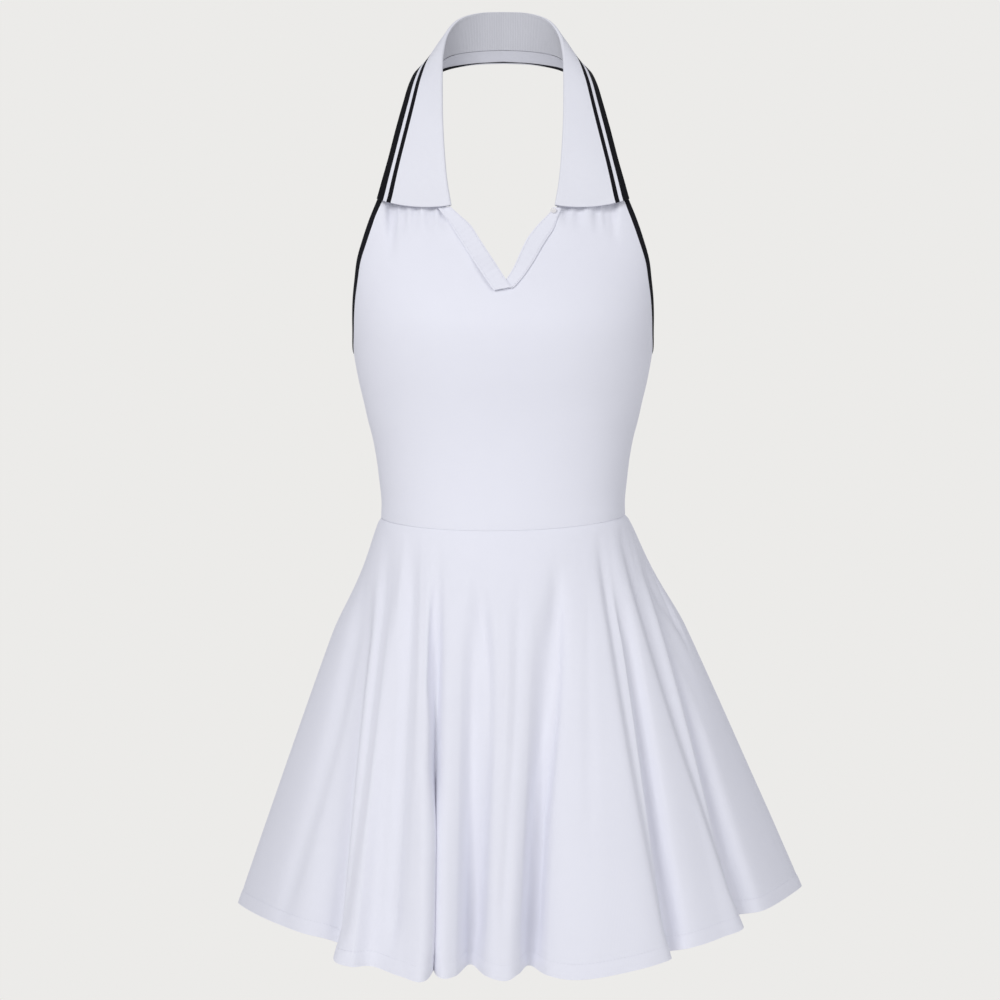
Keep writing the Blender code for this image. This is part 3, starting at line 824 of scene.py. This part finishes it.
def knit_material(name, colour, wales, courses, depth, roughness=0.78, sheen=0.12):
    """Fine jersey: loops in the bump, a faint uneven tone in the colour, and painted shade in the hollows
    between the loops.
    """
    if name in bpy.data.materials:
        return bpy.data.materials[name]
    made, tree, shader, flat, place = start_material(name, roughness, sheen)
    loops = add_group(tree, knit_group(), Map=flat, Wales=wales, Courses=courses)
    tone = add_group(tree, tone_group(), Place=place, Colour=(*colour, 1.0), Shade=shaded(colour, 0.93))
    # Painted shade: the colour darkens towards 0.72 of itself in the hollows between the loops.
    loop_hollow_shade = maths(tree, "MULTIPLY", loops.outputs["Mask"], 0.10)
    darker = blend_colour(tree, loop_hollow_shade, tone.outputs["Colour"], shaded(colour, 0.72))
    tree.links.new(darker, shader.inputs["Base Color"])
    gloss = maths(tree, "MULTIPLY_ADD", tone.outputs["Mask"], 0.12, roughness - 0.06)
    tree.links.new(gloss, shader.inputs["Roughness"])
    add_bump(tree, shader, loops.outputs["Height"], 0.35, depth)
    return made


def collar_material():
    """Rib knit whose black stripes are measured in from the outer edge, with painted shade on its inside and
    deeper painted shade in the inside's rib hollows.
    """
    name = "rib knit with stripes"
    made, tree, shader, flat, place = start_material(name, 0.85, 0.04, specular=0.12)
    white, black = colours().rib_knit, colours().black
    tone = add_group(tree, tone_group(), Place=place, Colour=(*white, 1.0), Shade=shaded(white, 0.92))
    split = tree.nodes.new("ShaderNodeSeparateXYZ")
    tree.links.new(flat, split.inputs[0])
    from_edge = split.outputs[1]
    outer = sizes().outer_stripe
    second = outer + sizes().white_stripe
    third = second + sizes().inner_stripe
    in_outer = maths(tree, "LESS_THAN", from_edge, outer)
    in_second = maths(tree, "GREATER_THAN", from_edge, second)
    in_third = maths(tree, "LESS_THAN", from_edge, third)
    stripes = maths(tree, "MAXIMUM", in_outer, maths(tree, "MULTIPLY", in_second, in_third))
    ribs = maths(tree, "SINE", maths(tree, "MULTIPLY", split.outputs[0], 2 * pi / RIB_PITCH))
    hollow = maths(tree, "MULTIPLY_ADD", ribs, -0.5, 0.5)
    # Painted shade: past part of the fold's roll the inside is mixed halfway to half white, and its rib hollows
    # up to 0.30 more towards 0.45.
    inside = maths(tree, "GREATER_THAN", from_edge, RIB_START + ROLL_OUTSIDE * pi * FOLD_RADIUS)
    shade = maths(tree, "MULTIPLY", maths(tree, "MULTIPLY", hollow, inside), 0.30)
    inside_shaded = blend_colour(tree, maths(tree, "MULTIPLY", inside, 0.5), tone.outputs["Colour"], shaded(white, 0.5))
    ribbed = blend_colour(tree, shade, inside_shaded, shaded(white, 0.45))
    colour = blend_colour(tree, stripes, ribbed, (*black, 1.0))
    tree.links.new(colour, shader.inputs["Base Color"])
    loops = add_group(tree, knit_group(), Map=flat, Wales=900.0, Courses=1000.0)
    deep = maths(tree, "MULTIPLY_ADD", maths(tree, "MULTIPLY", ribs, inside), 0.6, loops.outputs["Height"])
    add_bump(tree, shader, deep, 0.5, 0.00025)
    gloss = maths(tree, "MULTIPLY_ADD", tone.outputs["Mask"], 0.1, 0.8)
    tree.links.new(gloss, shader.inputs["Roughness"])
    return made


RIB_PITCH = 1.9 * MM
RIB_START = 70 * MM
# Share of the fold's roll that stays outside the painted shade of the collar's inside.
ROLL_OUTSIDE = 0.65


def binding_material():
    name = "black folded binding"
    if name in bpy.data.materials:
        return bpy.data.materials[name]
    made, tree, shader, flat, place = start_material(name, 0.8, 0.02, specular=0.12)
    black = colours().black
    tone = add_group(
        tree, tone_group(), Place=place, Colour=(*black, 1.0), Shade=shaded(black, 2.2), Scale=60.0
    )
    loops = add_group(tree, knit_group(), Map=flat, Wales=1300.0, Courses=1300.0)
    # Painted highlight: the black is lightened towards 1.8 times itself on the raised tops of the loops.
    lit_loop_tops = blend_colour(
        tree, maths(tree, "MULTIPLY", loops.outputs["Height"], 0.35), tone.outputs["Colour"], shaded(black, 1.8)
    )
    tree.links.new(lit_loop_tops, shader.inputs["Base Color"])
    gloss = maths(tree, "MULTIPLY_ADD", tone.outputs["Mask"], 0.15, 0.7)
    tree.links.new(gloss, shader.inputs["Roughness"])
    add_bump(tree, shader, loops.outputs["Height"], 0.5, 0.0002)
    return made


def pearl_material():
    made, tree, shader, _, place = start_material("pearl button", 0.22, 0.0)
    shader.inputs["Coat Weight"].default_value = 0.4
    shader.inputs["Specular IOR Level"].default_value = 0.5
    pearl = colours().pearl
    tone = add_group(
        tree, tone_group(), Place=place, Colour=(*pearl, 1.0), Shade=(0.70, 0.68, 0.72, 1.0), Scale=420.0
    )
    tree.links.new(tone.outputs["Colour"], shader.inputs["Base Color"])
    gloss = maths(tree, "MULTIPLY_ADD", tone.outputs["Mask"], 0.2, 0.15)
    tree.links.new(gloss, shader.inputs["Roughness"])
    return made


def shaded_neckband_jersey():
    """The neckband's jersey at 0.74 of the white: painted shade on its side that faces the neck."""
    shade = tuple(channel * 0.74 for channel in colours().jersey)
    return knit_material("neckband jersey", shade, 1100.0, 1300.0, 0.00012)


def jersey():
    return knit_material("white jersey", tuple(colours().jersey), 1100.0, 1300.0, 0.00012)


def thread():
    return knit_material("sewing thread", tuple(colours().thread), 4000.0, 4000.0, 0.00005, 0.6, 0.0)


def cloth_sheet(name, columns, rows, place, look, thickness, relief=None, flat_map=None):
    """A fine sheet on a grid: put in place, given its relief along the normals, then a wall."""
    bm = bmesh.new()
    sheets = [place] if callable(place) else place
    at = {}
    for number, where in enumerate(sheets):
        made = bmesh.ops.create_grid(bm, x_segments=columns, y_segments=rows, size=0.5)
        for vert in made["verts"]:
            u, v = vert.co.x + 0.5, vert.co.y + 0.5
            vert.co = where(u, v)
            at[vert] = (number, u, v)
    if len(sheets) > 1:
        seam = [vert for vert in at if abs(vert.co.x) < MM]
        bmesh.ops.remove_doubles(bm, verts=seam, dist=0.01 * MM)
    bm.normal_update()
    if relief:
        moves = [(vert, vert.normal * relief(*at[vert], vert.co)) for vert in bm.verts]
        for vert, move in moves:
            vert.co += move
    layer = bm.loops.layers.uv.new("flat cut")
    cut = CUTS[name]
    for face in bm.faces:
        for loop in face.loops:
            number, u, v = at[loop.vert]
            loop[layer].uv = flat_map(number, u, v) if flat_map else (u * cut.width, v * cut.length)
        face.smooth = True
    for edge in bm.edges:
        edge.smooth = not edge.is_boundary
    mesh = bpy.data.meshes.new(name)
    bm.to_mesh(mesh)
    bm.free()
    piece = bpy.data.objects.new(name + "_cloth", mesh)
    bpy.context.scene.collection.objects.link(piece)
    mesh.materials.append(look)
    wall = piece.modifiers.new("cloth wall", "SOLIDIFY")
    wall.thickness = thickness
    wall.offset = -1.0
    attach(piece, "root")
    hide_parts(name)
    return piece


def stitches(name, path, pitch, out=0.12 * MM, length=0.68):
    """Topstitching: a row of small rounded stitches along a path of (point, normal) pairs."""
    points = [point for point, _ in path]
    gaps = [(b - a).length for a, b in zip(points, points[1:])]
    travelled = np.concatenate([[0.0], np.cumsum(gaps)])
    bm = bmesh.new()
    for number in range(int(travelled[-1] / pitch)):
        middle = (number + 0.5) * pitch
        i = int(np.clip(np.searchsorted(travelled, middle) - 1, 0, len(gaps) - 1))
        share = (middle - travelled[i]) / max(gaps[i], 1e-9)
        along = (points[i + 1] - points[i]).normalized()
        normal = path[i][1].lerp(path[i + 1][1], share).normalized()
        side = along.cross(normal).normalized()
        turn = Matrix((along, side, normal)).transposed().to_4x4()
        size = Matrix.Diagonal((pitch * length / 2, 0.22 * MM, 0.16 * MM, 1.0))
        place = Matrix.Translation(points[i].lerp(points[i + 1], share) + normal * out)
        bmesh.ops.create_icosphere(bm, subdivisions=1, radius=1.0, matrix=place @ turn @ size)
    for face in bm.faces:
        face.smooth = True
    mesh = bpy.data.meshes.new(name)
    bm.to_mesh(mesh)
    bm.free()
    piece = bpy.data.objects.new(name, mesh)
    bpy.context.scene.collection.objects.link(piece)
    mesh.materials.append(thread())
    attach(piece, "root")
    return piece


def row_heights(place):
    """Heights of the front's outer and middle columns at a row number, between the rows too."""
    numbers = list(range(len(FRONT_ROWS)))
    outer = smooth_curve(place, numbers, [row.outer_z * MM for row in FRONT_ROWS])
    return outer, smooth_curve(place, numbers, [row.inner_z * MM for row in FRONT_ROWS])


def fine_front_half(side, rows):
    """Place function of one half of the front, running a little under the binding."""
    last = len(FRONT_ROWS)

    def place(u, v):
        across = u if side < 0 else 1 - u
        number = (1 - v) * last
        low = waist_z(side * (pi / 2) * (1 - across)) + SEAM_HAIR
        outer_z, inner_z = row_heights(min(number, last - 1))
        z = mix(outer_z, inner_z, across)
        if number > last - 1:
            z = mix(z, low, number - (last - 1))
        outer = side * front_outer_azimuth(z)
        inner = azimuth_at(cut_x(rows, z), z)
        azimuth = mix(outer, inner, across)
        x = torso_size(z)[0] * sin(azimuth)
        return torso_point(azimuth, z, gather_relief(x, z))

    return place


SEAM_HAIR = 0.05 * MM
GATHER_SHARE = 3.2


def seam_sink(distance):
    return -SEAM_SINK * (1 - ease(distance, 0, SEAM_SOFT))


def front_relief(number, u, v, point):
    azimuth = azimuth_at(point.x, point.z)
    at_waist = seam_sink(point.z - waist_z(azimuth))
    at_side = seam_sink((pi / 2 - abs(azimuth)) * torso_size(point.z)[0])
    if point.z > UNDERARM_Z:
        at_side = 0.0
    drag = 0.7 * MM * sin(point.x / (9 * MM) + 2.2 * sin(point.z / (31 * MM)))
    drag *= ease(point.z, -200 * MM, -150 * MM) * 0.5
    under_bust = 1.1 * MM * sin(abs(point.x) / (17 * MM) + point.z / (23 * MM))
    under_bust *= ease(abs(point.x), 60 * MM, 110 * MM) * (1 - ease(abs(point.z + 0.33), 0.0, 0.07)) * 0.5
    waist_tuck = 0.6 * MM * sin(point.x / (13 * MM)) * (1 - ease(point.z - WAIST_Z, 0, 0.03)) * 0.5
    gathers = GATHER_SHARE * gather_relief(point.x, point.z)
    return min(at_waist, at_side) + drag + under_bust + waist_tuck + gathers


class DRESS_OT_front(bpy.types.Operator):
    """Front bodice: two halves welded below the V, gathered at the top edges"""

    bl_idname = "dress.front"
    bl_label = "Front bodice"

    def execute(self, context):
        halves = [fine_front_half(-1, PLACKET_OVER), fine_front_half(1, PLACKET_UNDER)]
        cut = CUTS["bodice_front"]
        rows = len(FRONT_ROWS) * 6
        piece = cloth_sheet(
            "bodice_front", 64, rows, halves, jersey(), sizes().cloth, front_relief,
            lambda number, u, v: ((u + number) / 2 * cut.width, v * cut.length),
        )
        return {"FINISHED"}


def back_relief(number, u, v, point):
    at_waist = seam_sink(point.z - WAIST_Z)
    at_side = seam_sink(min(u, 1 - u) * 0.36)
    soft = 0.6 * MM * sin(point.x / (21 * MM) + point.z / (40 * MM))
    return min(at_waist, at_side) + soft


class DRESS_OT_back(bpy.types.Operator):
    """Low back piece, from side seam to side seam"""

    bl_idname = "dress.back"
    bl_label = "Back bodice"

    def execute(self, context):
        def place(u, v):
            azimuth = mix(pi / 2, 3 * pi / 2, u)
            low = waist_z(azimuth) + SEAM_HAIR
            high = back_top_z(azimuth) - BINDING_WIDTH + UNDER_BINDING
            return torso_point(azimuth, mix(low, high, v))

        piece = cloth_sheet("bodice_back", 120, 56, place, jersey(), sizes().cloth, back_relief)
        return {"FINISHED"}


class DRESS_OT_neckband(bpy.types.Operator):
    """Halter neckband in self fabric, round the nape and down both sides"""

    bl_idname = "dress.neckband"
    bl_label = "Neckband"

    def execute(self, context):
        def place(u, v):
            number = (u * 2 - 1) * NECKBAND_END
            side = 1 if number >= 0 else -1
            _, _, seam, low, bind = collar_lines(abs(number))
            across = (low - seam).normalized()
            end = low - across * (bind - UNDER_BINDING)
            return mirrored((seam + across * 0.4 * MM).lerp(end, v), side)

        def relief(number, u, v, point):
            return 0.5 * MM * sin(pi * v)

        # The neckband's colour is the white jersey darkened: painted shade.
        piece = cloth_sheet("neckband", 180, 12, place, shaded_neckband_jersey(), sizes().cloth, relief)
        return {"FINISHED"}


def collar_map(number, u, v):
    """Length along the collar, and distance in from its outer edge."""
    last = len(COLLAR) - 1
    fall_start = STAND_SHARE + FOLD_SHARE
    fold, edge, seam, _, _ = collar_lines(abs(u * 2 - 1) * last)
    fall = (edge - fold).length
    if v >= fall_start:
        inward = (1 - v) / (1 - fall_start) * fall
    elif v > STAND_SHARE:
        inward = RIB_START + (fall_start - v) / FOLD_SHARE * pi * FOLD_RADIUS
    else:
        inward = RIB_START + pi * FOLD_RADIUS + (STAND_SHARE - v) / STAND_SHARE * (fold - seam).length
    return u * CUTS["collar"].width, inward


class DRESS_OT_collar(bpy.types.Operator):
    """Folded rib-knit collar: stand, rolled fold and fall, with knitted-in stripes"""

    bl_idname = "dress.collar"
    bl_label = "Collar"

    def execute(self, context):
        def relief(number, u, v, point):
            end = abs(u * 2 - 1)
            fall = ease(v, STAND_SHARE + FOLD_SHARE, 0.8)
            lip = 0.35 * MM * ease(end, 0.975, 1.0) * fall
            return fall * 0.5 * MM * sin(end * 21 + v * 3) * (1 - ease(v, 0.85, 1.0)) + lip

        piece = cloth_sheet("collar", 220, 60, collar_point, collar_material(), sizes().rib, relief, collar_map)
        return {"FINISHED"}


def placket_path(at, last, across, lift, start=0.12, end=1.0, steps=60):
    """Points and normals along a placket band at a share of its width."""
    path = []
    for share in np.linspace(start, end, steps):
        x, z = at(float(share) * last, across)
        point = front_point(x, z, lift(z))
        path.append((point, surface_normal(x, z)))
    return path


def surface_normal(x, z):
    across = front_point(x + MM, z) - front_point(x - MM, z)
    upward = front_point(x, z + MM) - front_point(x, z - MM)
    return across.cross(upward).normalized()


class DRESS_OT_plackets(bpy.types.Operator):
    """Both folded bands of the V, with their stitching"""

    bl_idname = "dress.plackets"
    bl_label = "Plackets"

    def band(self, node, rows, lift):
        at = band_lines(rows)
        last = len(rows) - 1
        leftward = rows[0].inner_x < 0

        def place(u, v):
            across = 1 - u if leftward else u
            x, z = at((1 - v) * last, across)
            return front_point(x, z, lift(z))

        def relief(number, u, v, point):
            edge = min(u, 1 - u, v * 4)
            return -0.35 * MM * (1 - ease(edge, 0, 0.10))

        piece = cloth_sheet(node, 24, 90, place, jersey(), sizes().cloth * 1.3, relief)
        rounded = piece.modifiers.new("soft edge", "BEVEL")
        rounded.width = 0.25 * MM
        rounded.segments = 2
        rounded.limit_method = "ANGLE"
        seam = stitches(node + "_seam_stitches", placket_path(at, last, 0.90, lift), sizes().stitch * 0.8)
        fold = stitches(node + "_fold_stitches", placket_path(at, last, 0.10, lift), sizes().stitch * 0.8)
        return at

    def execute(self, context):
        self.band("placket_over", PLACKET_OVER, over_lift)
        self.band("placket_under", PLACKET_UNDER, under_lift)
        return {"FINISHED"}


class DRESS_OT_bindings(bpy.types.Operator):
    """Black binding round both armholes and along the back's top edge"""

    bl_idname = "dress.bindings"
    bl_label = "Bindings"

    def strip(self, node, columns, place):
        def relief(number, u, v, point):
            return 0.35 * MM + 0.35 * MM * sin(pi * v)

        piece = cloth_sheet(node, columns, 8, place, binding_material(), BINDING_THICK, relief)
        rounded = piece.modifiers.new("folded edge", "BEVEL")
        rounded.width = 0.5 * MM
        rounded.segments = 3
        rounded.limit_method = "ANGLE"

    def execute(self, context):
        self.strip("binding_right", 200, armhole_binding_place(1))
        self.strip("binding_left", 200, armhole_binding_place(-1))

        def along_back(u, v):
            azimuth = mix(pi / 2, 3 * pi / 2, u)
            top = back_top_z(azimuth)
            return torso_point(azimuth, mix(top - BINDING_WIDTH, top, v))

        self.strip("binding_back", 120, along_back)
        return {"FINISHED"}


BINDING_THICK = 2.0 * MM


def skirt_relief(first, last):
    """Relief of a skirt half: soft creases, the turned hem, and its sewn edges."""
    def relief(number, u, v, point):
        deg = mix(first, last, u)
        down = 1 - v
        move = 0.0
        for crease in CREASES:
            if crease.start < down < crease.end:
                middle = mix(crease.top_deg, crease.hem_deg, down)
                across = (deg - middle) / crease.width_deg
                if abs(across) < 3:
                    share = (down - crease.start) / (crease.end - crease.start)
                    move -= crease.depth * MM * float(np.exp(-across * across)) * sin(pi * share)
        if abs(deg) < 88:
            move -= front_creases(point)
        from_hem = v * SKIRT_LENGTH
        move += HEM_RAISE * (1 - ease(from_hem, HEM_DEPTH, HEM_DEPTH + 2 * MM))
        move -= STITCH_GROOVE * float(np.exp(-(((from_hem - HEM_DEPTH) / (1.6 * MM)) ** 2)))
        move += seam_sink(down * SKIRT_LENGTH)
        side = min(u, 1 - u) * (0.2 + 0.7 * down)
        return move + seam_sink(side) * 0.8

    return relief


class DRESS_OT_skirt(bpy.types.Operator):
    """Flared skirt, front and back, with a turned and topstitched hem"""

    bl_idname = "dress.skirt"
    bl_label = "Skirt"

    def half(self, node, first, last, columns):
        def place(u, v):
            return fine_skirt_point(round(mix(first, last, u), 5), hem_rows(1 - v))

        def relief(number, u, v, point):
            return skirt_relief(first, last)(number, u, 1 - hem_rows(1 - v), point)

        piece = cloth_sheet(
            node, columns, 96, place, jersey(), sizes().cloth, relief,
            lambda number, u, v: (u * CUTS[node].width, hem_rows(1 - v) * CUTS[node].length),
        )
        share = 1 - HEM_DEPTH / SKIRT_LENGTH
        path = []
        for deg in np.linspace(first + 0.3, last - 0.3, 420):
            deg = round(float(deg), 5)
            point = fine_skirt_point(deg, share)
            ahead = fine_skirt_point(round(deg + 0.2, 5), share) - fine_skirt_point(round(deg - 0.2, 5), share)
            upward = fine_skirt_point(deg, share - 0.01) - fine_skirt_point(deg, share + 0.01)
            normal = ahead.cross(upward).normalized()
            path.append((point - normal * 0.1 * MM, normal))
        sewn = stitches(node + "_hem_stitches", path, sizes().stitch)

    def execute(self, context):
        self.half("skirt_front", -90, 90, 360)
        self.half("skirt_back", 90, 270, 320)
        return {"FINISHED"}


def hem_rows(down):
    """Rows bunched towards the hem, where the turned edge needs them."""
    return down + 0.05 * sin(pi * down) * down


class DRESS_OT_button(bpy.types.Operator):
    """Pearl button with a rim, two holes and its thread"""

    bl_idname = "dress.button"
    bl_label = "Button"

    def execute(self, context):
        profile = ((0.0, 0.25), (0.45, 0.25), (0.62, 0.34), (0.80, 0.50), (0.93, 0.45), (1.0, 0.1), (0.9, -0.3), (0.0, -0.5))
        bm = bmesh.new()
        line = [
            bm.verts.new((radius * BUTTON_RADIUS, 0, height * BUTTON_THICK)) for radius, height in profile
        ]
        edges = [bm.edges.new(pair) for pair in zip(line, line[1:])]
        bmesh.ops.spin(
            bm, geom=line + edges, cent=(0, 0, 0), axis=(0, 0, 1), angle=2 * pi, steps=40, use_merge=True
        )
        bmesh.ops.remove_doubles(bm, verts=bm.verts[:], dist=0.002 * MM)
        bmesh.ops.recalc_face_normals(bm, faces=bm.faces[:])
        for side in (-1, 1):
            place = Matrix.Translation((side * 0.27 * BUTTON_RADIUS, 0, 0.27 * BUTTON_THICK))
            flat = Matrix.Diagonal((1, 1, 0.35, 1))
            bmesh.ops.create_uvsphere(
                bm, u_segments=12, v_segments=6, radius=0.13 * BUTTON_RADIUS, matrix=place @ flat
            )
        facing = surface_normal(BUTTON_X, BUTTON_Z)
        centre = front_point(BUTTON_X, BUTTON_Z, under_lift(BUTTON_Z)) + facing * BUTTON_THICK * 0.7
        turn = facing.to_track_quat("Z", "Y").to_matrix().to_4x4()
        bmesh.ops.transform(bm, matrix=Matrix.Translation(centre) @ turn, verts=bm.verts[:])
        for face in bm.faces:
            face.smooth = True
        mesh = bpy.data.meshes.new("pearl_button")
        bm.to_mesh(mesh)
        bm.free()
        piece = bpy.data.objects.new("pearl_button", mesh)
        context.scene.collection.objects.link(piece)
        mesh.materials.append(pearl_material())
        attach(piece, "root")
        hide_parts("button")
        return {"FINISHED"}


FRAME_CENTRE = Vector((-0.0028, AXIS_Y, -0.4129))
FRAME_WIDTH = 0.930
FLOOR_Z = -1.6
FLOOR_RADIUS = 3.9


class DRESS_OT_stage(bpy.types.Operator):
    """Pale floor, soft studio light and the camera"""

    bl_idname = "dress.stage"
    bl_label = "Stage"

    def soft_light(self, name, place, target, size, power):
        data = bpy.data.lights.new(name, "AREA")
        data.shape = "RECTANGLE"
        data.size, data.size_y = size
        data.energy = power
        lamp = bpy.data.objects.new(name, data)
        lamp.location = place
        lamp.rotation_euler = (Vector(target) - Vector(place)).to_track_quat("-Z", "Y").to_euler()
        bpy.context.scene.collection.objects.link(lamp)

    def execute(self, context):
        scene = context.scene
        scene.view_settings.view_transform = "Standard"
        bm = bmesh.new()
        bmesh.ops.create_circle(bm, cap_ends=True, segments=96, radius=FLOOR_RADIUS)
        bmesh.ops.translate(bm, verts=bm.verts, vec=(0, 0, FLOOR_Z))
        mesh = bpy.data.meshes.new("studio_floor")
        bm.to_mesh(mesh)
        bm.free()
        floor = bpy.data.objects.new("studio_floor", mesh)
        scene.collection.objects.link(floor)
        mesh.materials.append(knit_material("pale floor paper", tuple(colours().ground), 50.0, 50.0, 0.0001))
        world = bpy.data.worlds.new("studio")
        world.use_nodes = True
        scene.world = world
        tree = world.node_tree
        shown = tree.nodes["Background"]
        shown.inputs["Color"].default_value = (*colours().ground, 1.0)
        shown.inputs["Strength"].default_value = 1.0
        ambient = tree.nodes.new("ShaderNodeBackground")
        ambient.inputs["Color"].default_value = (0.92, 0.93, 1.0, 1.0)
        ambient.inputs["Strength"].default_value = 0.44
        rays = tree.nodes.new("ShaderNodeLightPath")
        both = tree.nodes.new("ShaderNodeMixShader")
        tree.links.new(rays.outputs["Is Camera Ray"], both.inputs[0])
        tree.links.new(ambient.outputs[0], both.inputs[1])
        tree.links.new(shown.outputs[0], both.inputs[2])
        tree.links.new(both.outputs[0], tree.nodes["World Output"].inputs[0])
        middle = (0, 0, -0.42)
        self.soft_light("key", (-1.5, -2.6, 0.9), middle, (1.3, 1.3), 44)
        self.soft_light("fill", (1.9, -2.4, 0.1), middle, (1.4, 1.8), 19)
        self.soft_light("back", (0.4, 2.6, 0.9), middle, (2.2, 1.6), 22)
        data = bpy.data.cameras.new("camera")
        data.sensor_width = 36.0
        data.lens = data.sensor_width * sizes().camera_distance / FRAME_WIDTH
        camera = bpy.data.objects.new("camera", data)
        camera.location = FRAME_CENTRE - Vector((0, sizes().camera_distance, 0))
        camera.rotation_euler = (pi / 2, 0, 0)
        scene.collection.objects.link(camera)
        scene.camera = camera
        return {"FINISHED"}


class DRESS_PT_panel(bpy.types.Panel):
    """Builds the dress piece by piece"""

    bl_idname = "DRESS_PT_panel"
    bl_label = "Tennis Dress"
    bl_space_type = "VIEW_3D"
    bl_region_type = "UI"
    bl_category = "Tennis Dress"

    def draw(self, context):
        layout = self.layout
        for group in (context.scene.dress_sizes, context.scene.dress_colours):
            for name in group.bl_rna.properties.keys():
                if name not in ("rna_type", "name"):
                    layout.prop(group, name)
        for operator in OPERATORS:
            layout.operator(operator.bl_idname)


OPERATORS = (
    DRESS_OT_stage,
    DRESS_OT_front,
    DRESS_OT_back,
    DRESS_OT_neckband,
    DRESS_OT_collar,
    DRESS_OT_plackets,
    DRESS_OT_bindings,
    DRESS_OT_skirt,
    DRESS_OT_button,
)
CLASSES = (DressSizes, DressColours, *OPERATORS, DRESS_PT_panel)


def register():
    for made in CLASSES:
        bpy.utils.register_class(made)
    bpy.types.Scene.dress_sizes = bpy.props.PointerProperty(type=DressSizes)
    bpy.types.Scene.dress_colours = bpy.props.PointerProperty(type=DressColours)


def unregister():
    del bpy.types.Scene.dress_colours
    del bpy.types.Scene.dress_sizes
    for made in reversed(CLASSES):
        bpy.utils.unregister_class(made)


def main():
    register()
    bpy.ops.dress.stage()
    bpy.ops.dress.front()
    bpy.ops.dress.back()
    bpy.ops.dress.neckband()
    bpy.ops.dress.collar()
    bpy.ops.dress.plackets()
    bpy.ops.dress.bindings()
    bpy.ops.dress.skirt()
    bpy.ops.dress.button()
    bpy.context.view_layer.update()


if __name__ == "__main__":
    main()
